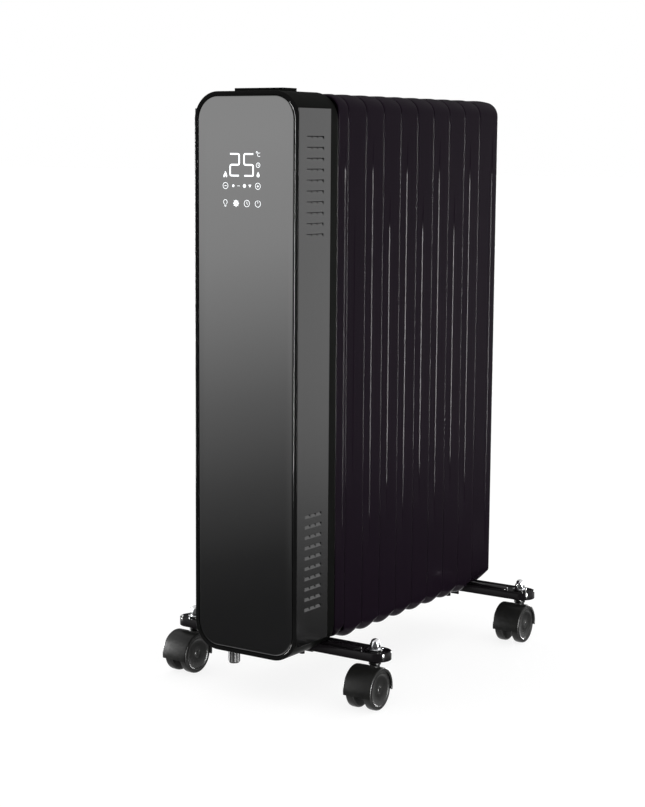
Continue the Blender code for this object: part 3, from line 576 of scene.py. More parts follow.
class Workshop:
    """Makes pieces from sketches and settles them on the heater's bodies."""

    def __init__(self) -> None:
        """Makes every finish."""
        self.finishes = {slot: finish.make() for slot, finish in FINISHES.items()}
        self.symbol_light = SYMBOL_LIGHT.make()

    def blank(self, name: str, mesh: bpy.types.Mesh) -> bpy.types.Object:
        """An object for a mesh that isn't finished yet.

        Args:
            name: The object's name.
            mesh: Its mesh.

        Returns:
            The object.
        """
        obj = bpy.data.objects.new(name, mesh)
        bpy.context.scene.collection.objects.link(obj)
        return obj

    def settled(self, obj: bpy.types.Object) -> bpy.types.Mesh:
        """Takes the evaluated mesh off an object and removes the object.

        Args:
            obj: The object, with its modifiers.

        Returns:
            A plain mesh.
        """
        graph = bpy.context.evaluated_depsgraph_get()
        mesh = bpy.data.meshes.new_from_object(obj.evaluated_get(graph), depsgraph=graph)
        bpy.data.objects.remove(obj, do_unlink=True)
        return mesh

    def shaped(
        self, mesh: bpy.types.Mesh, cutters: Sequence[Sketch] = (), bevel: float = 0.0
    ) -> bpy.types.Mesh:
        """Cuts a mesh and rounds its edges.

        Args:
            mesh: The mesh to start from.
            cutters: What is cut off it, in order.
            bevel: The width of the bevel on its sharp edges at the end.

        Returns:
            A plain mesh.
        """
        obj = self.blank("shaping", mesh)
        helpers = []
        for sketch in cutters:
            helper = self.blank("cutter", sketch.mesh("cutter"))
            modifier = obj.modifiers.new("shape", "BOOLEAN")
            modifier.operation = "DIFFERENCE"
            modifier.solver = "EXACT"
            modifier.object = helper
            helpers.append(helper)
        if bevel:
            rounding = obj.modifiers.new("rounding", "BEVEL")
            rounding.width = bevel
            rounding.segments = BEVEL_STEPS
            rounding.limit_method = "ANGLE"
            rounding.angle_limit = radians(BEVEL_ANGLE)
            rounding.use_clamp_overlap = True
        made = self.settled(obj)
        for helper in helpers:
            bpy.data.objects.remove(helper, do_unlink=True)
        return made

    def install(
        self,
        name: str,
        mesh: bpy.types.Mesh,
        slot: Slot,
        body: str = HEATER,
        nodes: Sequence[str] = (),
    ) -> bpy.types.Object:
        """Puts a finished piece on its body.

        Args:
            name: The piece's name.
            mesh: Its mesh, in place.
            slot: Its finish.
            body: The body it moves with.
            nodes: The frame's nodes that it stands for.

        Returns:
            The piece.
        """
        mesh.name = name
        mesh.materials.clear()
        mesh.materials.append(self.finishes[slot])
        piece = self.blank(name, mesh)
        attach(piece, body)
        if nodes:
            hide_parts(*nodes)
        LOG.info("%s: %d faces on %s", name, len(mesh.polygons), body)
        return piece

    def dress(self, slot: Slot, *nodes: str) -> None:
        """Gives nodes of the frame their detailed finish.

        Args:
            slot: The finish.
            nodes: The nodes' names.
        """
        for node in nodes:
            for holder in frame["nodes"][node].material_slots:
                holder.material = self.finishes[slot]
            LOG.info("%s: dressed as %s", node, slot.value)


class Recipe:
    """A geometry node tree laid out by short calls, with named inputs for its sizes."""

    def __init__(self, name: str) -> None:
        """Starts a tree with geometry in and out.

        Args:
            name: The tree's name.
        """
        self.tree = bpy.data.node_groups.new(name, "GeometryNodeTree")
        self.face = self.tree.interface
        self.face.new_socket("Geometry", in_out="INPUT", socket_type="NodeSocketGeometry")
        self.face.new_socket("Geometry", in_out="OUTPUT", socket_type="NodeSocketGeometry")
        self.entry = self.tree.nodes.new("NodeGroupInput")
        self.exit = self.tree.nodes.new("NodeGroupOutput")
        self.inputs: dict[str, str] = {}
        self.values: dict[str, object] = {}

    def size(self, name: str, value: object, kind: str = "Float") -> Socket:
        """Adds a named input.

        Args:
            name: The input's name.
            value: What it is set to.
            kind: The kind of socket.

        Returns:
            The socket that gives it inside the tree.
        """
        socket = self.face.new_socket(name, in_out="INPUT", socket_type=f"NodeSocket{kind}")
        self.inputs[name] = socket.identifier
        self.values[name] = value
        return self.entry.outputs[name]

    def add(self, kind: str, wires: dict[object, object], **settings: object) -> bpy.types.Node:
        """Adds a node.

        Args:
            kind: The node's type, without its family's prefix where that is GeometryNode.
            wires: What goes into each input, by name or index: a socket or a value.
            settings: Properties of the node.

        Returns:
            The node.
        """
        kind = kind if kind.startswith(("Shader", "Function")) else f"GeometryNode{kind}"
        node = self.tree.nodes.new(kind)
        for name, value in settings.items():
            setattr(node, name, value)
        for name, value in wires.items():
            if isinstance(value, Socket):
                self.tree.links.new(value, node.inputs[name])
            else:
                node.inputs[name].default_value = value
        return node

    def math(self, operation: str, *values: object) -> Socket:
        """Adds a sum.

        Args:
            operation: The operation's name.
            values: Its one to three terms, sockets or numbers.

        Returns:
            The socket of the result.
        """
        node = self.add("ShaderNodeMath", dict(enumerate(values)), operation=operation)
        return node.outputs[0]

    def smooth(
        self,
        value: object,
        low: object,
        high: object,
        start: object = 0.0,
        end: object = 1.0,
        kind: str = "SMOOTHSTEP",
    ) -> Socket:
        """A step between two levels.

        Args:
            value: The socket to read.
            low: Where the step starts.
            high: Where it ends.
            start: The result below the step.
            end: The result above it.
            kind: The step's shape.

        Returns:
            The socket of the result.
        """
        node = self.add(
            "ShaderNodeMapRange",
            {"Value": value, "From Min": low, "From Max": high, "To Min": start, "To Max": end},
            interpolation_type=kind,
        )
        return node.outputs["Result"]

    def split(self, vector: object) -> bpy.types.NodeOutputs:
        """The X, Y and Z of a vector."""
        return self.add("ShaderNodeSeparateXYZ", {0: vector}).outputs

    def vector(self, x: object, y: object, z: object) -> Socket:
        """A vector from X, Y and Z."""
        return self.add("ShaderNodeCombineXYZ", {0: x, 1: y, 2: z}).outputs[0]

    def run(
        self, shop: Workshop, shape: Socket, blank: bpy.types.Mesh, finish: Slot
    ) -> bpy.types.Mesh:
        """Ends the tree and runs it.

        Args:
            shop: The workshop that holds the finishes.
            shape: The socket of the finished geometry.
            blank: The mesh that goes in.
            finish: The finish that the tree sets.

        Returns:
            A plain mesh.
        """
        material = self.size("Finish", shop.finishes[finish], "Material")
        real = self.add("RealizeInstances", {"Geometry": shape})
        dressed = self.add("SetMaterial", {"Geometry": real.outputs[0], "Material": material})
        self.tree.links.new(dressed.outputs[0], self.exit.inputs[0])
        holder = shop.blank("recipe", blank)
        modifier = holder.modifiers.new("recipe", "NODES")
        modifier.node_group = self.tree
        for name, identifier in self.inputs.items():
            modifier[identifier] = self.values[name]
        return shop.settled(holder)


# ---------------------------------------------------------------- the heater


@dataclass
class Body:
    """The outline that the front, the housing and the fins share, from the frame's own boxes."""

    corner: float = 29 * MM
    corner_steps: int = 16

    def __post_init__(self) -> None:
        """Reads the front rim's box."""
        self.low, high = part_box("front_bezel")
        self.width = high.x - self.low.x
        self.height = high.z - self.low.z
        self.middle = (high.z + self.low.z) / 2

    def at(self, x: float, y: float, z: float) -> Vector:
        """The place of a point across, back from the front face and up from the rim's bottom."""
        return Vector((x, self.low.y + y, self.low.z + z))

    def ring(self, inset: float, y: float) -> Ring:
        """A ring inside the outline.

        Args:
            inset: How far inside it is.
            y: How far behind the front face it stands.

        Returns:
            The ring's points.
        """
        outline = rounded_outline(
            self.width - 2 * inset, self.height - 2 * inset, self.corner - inset, self.corner_steps
        )
        return [Vector((x, self.low.y + y, z + self.middle)) for x, z in outline]


@dataclass
class ControlFront:
    """The glossy bezel, the glass in it and the lit symbols of the touch display."""

    shop: Workshop
    body: Body
    bezel_width: float = 4.4 * MM
    bezel_depth: float = 1.6 * MM
    bead_height: float = 1.5 * MM
    glass_edge: float = 4.7 * MM
    glass_front: float = 0.6 * MM
    glass_round: Point = (2.2 * MM, 1.1 * MM)
    glass_steps: int = 7
    bead_steps: int = 14
    glass_back: float = 3.6 * MM
    symbol_depth: float = 0.1 * MM
    digit_stroke: float = 0.8 * MM
    icon_stroke: float = 0.2 * MM

    def build(self) -> None:
        """Builds the three pieces."""
        self.build_bezel()
        self.build_glass()
        self.build_symbols()

    def build_bezel(self) -> None:
        """Sweeps the bezel's rounded section round the front."""
        half, rise = self.bezel_width / 2, self.bead_height
        section = [(0.0, self.bezel_depth)]
        for step in range(self.bead_steps + 1):
            turn = pi * step / self.bead_steps
            section.append((half - half * cos(turn), rise - rise * sin(turn)))
        section.append((self.bezel_width, self.bezel_depth))
        rings = [self.body.ring(inset, depth) for inset, depth in section]
        mesh = Sketch().loft(rings, closed=True).mesh("front_bezel_ring")
        self.shop.install("front_bezel_ring", mesh, Slot.BEZEL_GLOSS, nodes=["front_bezel"])

    def build_glass(self) -> None:
        """Builds the pane, with its rounded edge above a ground wall."""
        edge, front = self.glass_edge, self.glass_front
        across, down = self.glass_round
        rings = [self.body.ring(edge, self.glass_back)]
        first, last = pi / 5, pi / 2
        for step in range(self.glass_steps + 1):
            turn = first + (last - first) * step / self.glass_steps
            inset, drop = across * (1 - cos(turn)), down * (1 - sin(turn))
            rings.append(self.body.ring(edge + inset, front + drop))
        mesh = Sketch().loft(rings).mesh("front_glass_pane", 20)
        self.shop.install("front_glass_pane", mesh, Slot.FRONT_GLASS, nodes=["front_glass"])

    def build_symbols(self) -> None:
        """Draws the lit digits and icons on the glass."""
        strokes = SymbolStrokes()
        sketch = Sketch()
        for points, closed in strokes.digits():
            self.stroke(sketch, points, closed, self.digit_stroke)
        for points, closed in strokes.icons():
            self.stroke(sketch, points, closed, self.icon_stroke)
        for outline in strokes.solids():
            self.plaque(sketch, outline)
        mesh = sketch.mesh("display_symbols")
        mesh.materials.append(self.shop.symbol_light)
        piece = self.shop.blank("display_symbols", mesh)
        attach(piece, HEATER)
        LOG.info("display_symbols: %d faces on %s", len(mesh.polygons), HEATER)

    def face_point(self, x: float, z: float, proud: float) -> Vector:
        """A point on the glass from millimetres across and up, standing proud of it."""
        return self.body.at(x * MM, self.glass_front - proud, z * MM)

    def stroke(
        self, sketch: Sketch, points: Sequence[Point], closed: bool, half: float
    ) -> None:
        """Adds a flat line of even width with mitred corners.

        Args:
            sketch: The sketch to draw in.
            points: Its middle line, in millimetres.
            closed: Whether it ends where it starts.
            half: Half its width.
        """
        count = len(points)
        left, right = [], []
        for index, (x, z) in enumerate(points):
            before = points[index - 1] if index or closed else (x, z)
            after = points[(index + 1) % count] if index < count - 1 or closed else (x, z)
            first = Vector((x - before[0], z - before[1]))
            second = Vector((after[0] - x, after[1] - z))
            first = first.normalized() if first.length else second.normalized()
            second = second.normalized() if second.length else first
            along = (first + second).normalized()
            reach = half / MM / max(0.5, along.dot(second))
            left.append((x - along.y * reach, z + along.x * reach))
            right.append((x + along.y * reach, z - along.x * reach))
        self.ribbon(sketch, left, right, closed)

    def ribbon(
        self, sketch: Sketch, left: Sequence[Point], right: Sequence[Point], closed: bool
    ) -> None:
        """Adds a thin closed strip between two lines.

        Args:
            sketch: The sketch to draw in.
            left: The points of one side, in millimetres.
            right: The points of the other.
            closed: Whether it ends where it starts.
        """
        rings = []
        for (x1, z1), (x2, z2) in zip(left, right):
            rings.append(
                [
                    self.face_point(x1, z1, self.symbol_depth),
                    self.face_point(x2, z2, self.symbol_depth),
                    self.face_point(x2, z2, 0),
                    self.face_point(x1, z1, 0),
                ]
            )
        sketch.loft(rings, closed)

    def plaque(self, sketch: Sketch, outline: Sequence[Point]) -> None:
        """Adds a thin filled shape.

        Args:
            sketch: The sketch to draw in.
            outline: Its edge, in millimetres.
        """
        rings = [
            [self.face_point(x, z, proud) for x, z in outline] for proud in (self.symbol_depth, 0)
        ]
        sketch.loft(rings)


@dataclass
class SymbolStrokes:
    """The shapes on the display, in millimetres across and up the front face."""

    digit_top: float = 517.4
    digit_middle: float = 506.6
    digit_bottom: float = 495.7
    level_row: float = 485.5
    key_row: float = 468.0

    def circle(
        self, centre: Point, radius: float, first: float = 0.0, turn: float = 360.0, steps: int = 28
    ) -> list[Point]:
        """Points of a circle or an arc.

        Args:
            centre: Its centre.
            radius: Its radius.
            first: The angle where it starts, in degrees.
            turn: How far it goes round, in degrees.
            steps: How many edges it has.

        Returns:
            The points. A whole circle leaves out its last one.
        """
        last = steps if turn >= 360 else steps + 1
        turns = [radians(first + turn * step / steps) for step in range(last)]
        return [(centre[0] + radius * cos(t), centre[1] + radius * sin(t)) for t in turns]

    def digits(self) -> list[tuple[list[Point], bool]]:
        """The two digits of the room temperature.

        Returns:
            Each line's points and whether it is closed.
        """
        top, middle, bottom = self.digit_top, self.digit_middle, self.digit_bottom
        two = [
            (-18.9, top), (-8.9, top), (-7.9, top - 0.6), (-7.6, top - 1.6),
            (-7.6, middle + 1.6), (-8.0, middle + 0.5), (-9.1, middle), (-17.2, middle),
            (-18.5, middle - 0.6), (-18.9, middle - 1.8), (-18.9, bottom + 1.3),
            (-18.5, bottom + 0.3), (-17.6, bottom), (-8.0, bottom),
        ]
        middle_x = -4.65
        five = [(2 * middle_x - x + 0.15, z) for x, z in two]
        return [(two, False), (five, False)]

    def icons(self) -> list[tuple[list[Point], bool]]:
        """The thin lines of the icons.

        Returns:
            Each line's points and whether it is closed.
        """
        level, key = self.level_row, self.key_row
        lines = [
            (self.circle((14.3, 519.2), 0.8, steps=14), True),
            (self.circle((17.0, 516.8), 1.8, 50, 260, 18), False),
            (self.circle((15.8, 506.4), 2.3), True),
            ([(15.8, 507.9), (15.8, 506.2), (16.9, 505.6)], False),
            (self.circle((-24.8, level), 3.1), True),
            ([(-26.2, level), (-23.4, level)], False),
            ([(-10.0, level), (-6.8, level)], False),
            (self.circle((15.6, level), 3.1), True),
            ([(14.2, level), (17.0, level)], False),
            ([(15.6, level - 1.4), (15.6, level + 1.4)], False),
            (self.circle((-25.0, key + 1.1), 2.3, -60, 300, 22), False),
            ([(-25.9, key - 1.4), (-25.7, key - 3.2), (-24.3, key - 3.2), (-24.1, key - 1.4)], False),
            (self.circle((2.0, key), 3.3), True),
            ([(2.0, key + 1.9), (2.0, key - 0.2), (3.2, key - 1.0)], False),
            (self.circle((15.6, key), 3.3, 118, 304, 26), False),
            ([(15.6, key + 0.3), (15.6, key + 3.7)], False),
        ]
        for spoke in range(8):
            turn = 2 * pi * spoke / 8
            lines.append(
                (
                    [
                        (-11.5 + reach * cos(turn), key + reach * sin(turn))
                        for reach in (2.7, 3.7)
                    ],
                    False,
                )
            )
        return lines

    def solids(self) -> list[list[Point]]:
        """The filled shapes of the icons.

        Returns:
            Each shape's outline.
        """
        level, key = self.level_row, self.key_row
        drop = [(15.9, 499.9), *self.circle((15.9, 496.2), 1.75, 25, -230, 14)]
        flame = [
            (-27.3, 494.2), (-27.1, 496.4), (-25.9, 497.9), (-25.1, 500.2), (-24.0, 498.6),
            (-23.2, 497.2), (-22.8, 495.6), (-23.1, 494.1), (-24.1, 493.9), (-24.6, 495.4),
            (-25.5, 496.3), (-25.9, 494.9), (-26.1, 493.9),
        ]
        wedge = [(3.9, level + 1.3), (7.5, level + 1.3), (5.7, level - 1.5)]
        return [
            drop,
            flame,
            wedge,
            self.circle((-15.0, level), 1.3, steps=18),
            self.circle((-1.0, level), 1.8, steps=20),
            *self.gear_disc((-11.5, key)),
        ]

    def gear_disc(self, centre: Point) -> list[list[Point]]:
        """The gear's disc, in four parts round its hole.

        Args:
            centre: The gear's centre.

        Returns:
            The parts' outlines.
        """
        parts = []
        for part in range(4):
            outer = self.circle(centre, 2.9, 90 * part, 90, 8)
            inner = self.circle(centre, 0.9, 90 * part + 90, -90, 8)
            parts.append(outer + inner)
        return parts


@dataclass
class Housing:
    """The tub behind the front, with its louvred side panels, handle, shield and gland."""

    shop: Workshop
    body: Body
    front: float = 1.9 * MM
    face: float = 8.3 * MM
    rear: float = 72 * MM
    wall: float = 3.2 * MM
    edge_round: float = 1.2 * MM
    front_round: float = 0.4 * MM
    panel_rear: float = 58.5 * MM
    panel_margin: float = 17 * MM
    panel_thickness: float = 1.5 * MM
    panel_gap: float = 0.35 * MM
    recess: float = 1.8 * MM
    slot_count: int = 10
    slot_front: float = 16 * MM
    slot_length: float = 30 * MM
    slot_height: float = 3.6 * MM
    slot_pitch: float = 10.8 * MM
    group_bases: Point = (435 * MM, 52 * MM)
    window_margin: float = 2 * MM
    window_depth: float = 8 * MM
    louvre_depth: float = 1.1 * MM
    louvre_gap: float = 0.55 * MM
    rib_half: float = 0.35 * MM
    rib_levels: Point = (0.25 * MM, 1.3 * MM)
    panel_bevel: float = 0.2 * MM
    handle_bevel: float = 0.7 * MM
    handle_wall: float = 2 * MM
    grip_depth: float = 47 * MM
    grip_height: float = 9 * MM
    bracket_front: float = 53.2 * MM
    bracket_top: float = 9.5 * MM
    flat_shading: float = 14

    def build(self) -> None:
        """Builds the shell and everything let into it."""
        self.build_shell()
        for side in Side:
            self.build_side_panel(side)
        self.build_handle()
        self.build_gland()
        self.shop.dress(Slot.RAW_STEEL, "rear_shield")

    def build_shell(self) -> None:
        """Lofts the tub and cuts its recesses, windows and openings."""
        small = self.front_round
        rings = [
            self.body.ring(self.wall, self.face),
            self.body.ring(self.wall, self.front + small),
            self.body.ring(self.wall - small, self.front),
            self.body.ring(small, self.front),
            self.body.ring(0, self.front + small),
            *[
                self.body.ring(inset, self.rear - self.edge_round + depth)
                for inset, depth in self.rear_round()
            ],
            self.body.ring(self.wall, self.rear),
            self.body.ring(self.wall, self.face + self.wall),
        ]
        shell = Sketch().loft(rings).mesh("housing_tub")
        cutters = (*self.panel_cutters(), *self.opening_cutters())
        shell = self.shop.shaped(shell, cutters)
        mesh = Sketch().take(shell).mesh("housing_tub", 12)
        self.shop.install(
            "housing_tub", mesh, Slot.HOUSING_PLASTIC, nodes=["housing_shell"]
        )

    def panel_cutters(self) -> tuple[Sketch, Sketch]:
        """The recesses that the side panels lie in, and the windows behind their louvres."""
        half = self.body.width / 2
        low, high = self.panel_margin, self.body.height - self.panel_margin
        recesses = Sketch()
        windows = Sketch()
        margin = self.window_margin
        for side in Side:
            xs = sorted((side.value * (half - self.recess), side.value * (half + 5 * MM)))
            recesses.box(
                self.body.at(xs[0], 0, low - self.panel_gap),
                self.body.at(xs[1], self.panel_rear + self.panel_gap, high + self.panel_gap),
            )
            xs = sorted(side.value * (half + reach * self.window_depth) for reach in (-1, 1))
            rear = self.slot_front + self.slot_length + margin
            for base in self.group_bases:
                top = base + (self.slot_count - 1) * self.slot_pitch + self.slot_height
                windows.box(
                    self.body.at(xs[0], self.slot_front - margin, base - margin),
                    self.body.at(xs[1], rear, top + margin),
                )
        return recesses, windows

    def opening_cutters(self) -> tuple[Sketch, Sketch, Sketch]:
        """The openings for the front bracket, the handle's cup and the gland."""
        notch = Sketch().box(
            self.body.at(-0.2, self.bracket_front, -10 * MM),
            self.body.at(0.2, self.rear + 10 * MM, self.bracket_top),
        )
        handle_low, handle_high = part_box("carry_handle")
        gap = Vector((0.3 * MM, 0.3 * MM, 0))
        opening = Sketch().box(handle_low - gap, handle_high + gap + Vector((0, 0, 20 * MM)))
        gland_low, gland_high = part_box("cord_gland")
        place = (gland_low + gland_high) / 2
        radius = (gland_high.x - gland_low.x) / 2 + 0.4 * MM
        bore = Sketch().turned(
            [(0, 0), (radius, 0), (radius, 30 * MM), (0, 30 * MM)], 32, Axis.Z,
            Vector((place.x, place.y, self.body.low.z - 10 * MM)),
        )
        return notch, opening, bore

    def rear_round(self) -> list[Point]:
        """The rounding of the tub's rear edge, as inset and depth."""
        radius = self.edge_round
        return [(radius - radius * cos(t), radius * sin(t)) for t in (0, pi / 6, pi / 3, pi / 2)]

    def build_side_panel(self, side: Side) -> None:
        """Builds one panel and presses its louvres with a node tree.

        Args:
            side: The flank it belongs to.
        """
        half = self.body.width / 2
        low, high = self.panel_margin, self.body.height - self.panel_margin
        xs = sorted((side.value * half, side.value * (half - self.panel_thickness)))
        plate = Sketch().box(
            self.body.at(xs[0], self.front, low), self.body.at(xs[1], self.panel_rear, high)
        )
        blank = self.shop.shaped(plate.mesh("panel_plate"), bevel=self.panel_bevel)
        recipe = Recipe(f"louvres_{side.name.lower()}")
        cutter, ribs = self.louvre_cutter(side), self.louvre_ribs(side)
        helpers = [
            self.shop.blank("louvre_cutter", cutter.mesh("louvre_cutter")),
            self.shop.blank("louvre_ribs", ribs.mesh("louvre_ribs")),
        ]
        places = self.louvre_places(recipe)
        shapes = []
        for label, helper in zip(("Cutter", "Ribs"), helpers):
            info = recipe.add("ObjectInfo", {"Object": recipe.size(label, helper, "Object")})
            spread = recipe.add(
                "InstanceOnPoints", {"Points": places, "Instance": info.outputs["Geometry"]}
            )
            shapes.append(recipe.add("RealizeInstances", {"Geometry": spread.outputs[0]}))
        cut = recipe.add(
            "MeshBoolean",
            {"Mesh 1": recipe.entry.outputs[0], "Mesh 2": shapes[0].outputs[0]},
            operation="DIFFERENCE",
            solver="EXACT",
        )
        joined = recipe.add("JoinGeometry", {})
        for shape in (shapes[1].outputs[0], cut.outputs[0]):
            recipe.tree.links.new(shape, joined.inputs[0])
        made = recipe.run(self.shop, joined.outputs[0], blank, Slot.SIDE_GLOSS)
        for helper in helpers:
            bpy.data.objects.remove(helper, do_unlink=True)
        name = f"side_trim_{side.name.lower()}"
        mesh = Sketch().take(made).mesh(name, self.flat_shading)
        node = f"side_panel_{side.name.lower()}"
        self.shop.install(name, mesh, Slot.SIDE_GLOSS, nodes=[node])

    def louvre_places(self, recipe: Recipe) -> Socket:
        """The bottoms of the slots, in their two groups.

        Args:
            recipe: The tree to add them to.

        Returns:
            The socket of the points.
        """
        pitch = recipe.size("Pitch", self.slot_pitch)
        count = recipe.size("Count", self.slot_count, "Int")
        places = recipe.add("JoinGeometry", {})
        for base in self.group_bases:
            level = recipe.size(f"Base {base / MM:.0f}", base + self.body.low.z)
            line = recipe.add(
                "MeshLine",
                {
                    "Count": count,
                    "Start Location": recipe.vector(0.0, 0.0, level),
                    "Offset": recipe.vector(0.0, 0.0, pitch),
                },
            )
            recipe.tree.links.new(line.outputs[0], places.inputs[0])
        return places.outputs[0]

    def louvre_cutter(self, side: Side) -> Sketch:
        """A wedge that slopes in from the slot's bottom, and goes right through at its top.

        Args:
            side: The flank it belongs to.

        Returns:
            The sketch, with the slot's bottom at height 0.
        """
        outer = side.value * self.body.width / 2
        proud, deep, behind = (
            outer - side.value * depth for depth in (-1 * MM, self.louvre_depth, 4 * MM)
        )
        gap_base = self.slot_height - self.louvre_gap
        section = [
            (proud, 0.0),
            (outer, 0.0),
            (deep, gap_base),
            (behind, gap_base),
            (behind, self.slot_height),
            (proud, self.slot_height),
        ]
        first = self.body.low.y + self.slot_front
        rings = [
            [Vector((x, y, z)) for x, z in section] for y in (first, first + self.slot_length)
        ]
        return Sketch().loft(rings)

    def louvre_ribs(self, side: Side) -> Sketch:
        """The upright ribs that stiffen a louvre.

        Args:
            side: The flank it belongs to.

        Returns:
            The sketch, with the slot's bottom at height 0.
        """
        outer = side.value * self.body.width / 2
        sketch = Sketch()
        xs = sorted(outer - side.value * level for level in self.rib_levels)
        for share in (0.34, 0.67):
            y = self.body.low.y + self.slot_front + share * self.slot_length
            sketch.box(
                Vector((xs[0], y - self.rib_half, -0.2 * MM)),
                Vector((xs[1], y + self.rib_half, self.slot_height - 0.3 * MM)),
            )
        return sketch

    def build_handle(self) -> None:
        """Builds the cup in the housing's top, with the grip bar across it."""
        low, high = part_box("carry_handle")
        rim = self.body.low.z + self.body.height
        wall = self.handle_wall
        grip_rear = self.body.low.y + self.grip_depth
        inner = high.x - wall
        grip_bottom = rim - self.grip_height
        plain = Sketch().box(low, high).mesh("handle_block")
        pocket = Sketch().box(
            Vector((-inner, low.y + wall, low.z + wall)),
            Vector((inner, high.y - wall, grip_bottom)),
        )
        mouth = Sketch().box(
            Vector((-inner, grip_rear, grip_bottom - 3 * MM)),
            Vector((inner, high.y - wall, high.z + 10 * MM)),
        )
        lowered = Sketch().box(
            Vector((low.x - 5 * MM, grip_rear + 0.1 * MM, rim - 0.4 * MM)),
            Vector((high.x + 5 * MM, high.y + 5 * MM, high.z + 5 * MM)),
        )
        cut = self.shop.shaped(plain, (pocket, mouth, lowered))
        rounded = self.shop.shaped(cut, bevel=self.handle_bevel)
        mesh = Sketch().take(rounded).mesh("top_handle", self.flat_shading)
        self.shop.install("top_handle", mesh, Slot.HOUSING_PLASTIC, nodes=["carry_handle"])

    def build_gland(self) -> None:
        """Builds the ribbed cable gland under the housing."""
        low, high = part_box("cord_gland")
        centre = (low + high) / 2
        radius = (high.x - low.x) / 2
        lobes, steps = 14, 112
        levels = [
            (high.z, radius - 1.2 * MM, 0.0),
            (high.z - 2 * MM, radius - 0.2 * MM, 0.0),
            (low.z + 19.8 * MM, radius - 0.1 * MM, 0.0),
            (low.z + 19.2 * MM, radius - 0.35 * MM, 0.28 * MM),
            (low.z + 2.2 * MM, radius - 0.35 * MM, 0.28 * MM),
            (low.z + 1.4 * MM, radius - 0.3 * MM, 0.0),
            (low.z, radius - 1.5 * MM, 0.0),
            (low.z, 3.6 * MM, 0.0),
            (low.z + 16 * MM, 3.4 * MM, 0.0),
        ]
        rings = []
        for z, reach, lobe in levels:
            ring = []
            for step in range(steps):
                turn = 2 * pi * step / steps
                across = reach + lobe * cos(lobes * turn)
                ring.append(
                    Vector((centre.x + across * cos(turn), centre.y + across * sin(turn), z))
                )
            rings.append(ring)
        mesh = Sketch().loft(rings).mesh("cable_gland")
        self.shop.install("cable_gland", mesh, Slot.GLAND_RUBBER, nodes=["cord_gland"])


@dataclass(frozen=True)
class Sweep:
    """A fin's section carried round its outline, as the sockets of every point."""

    points: Socket
    edge: bpy.types.NodeOutputs
    along: bpy.types.NodeOutputs
    inset: Socket
    back: Socket


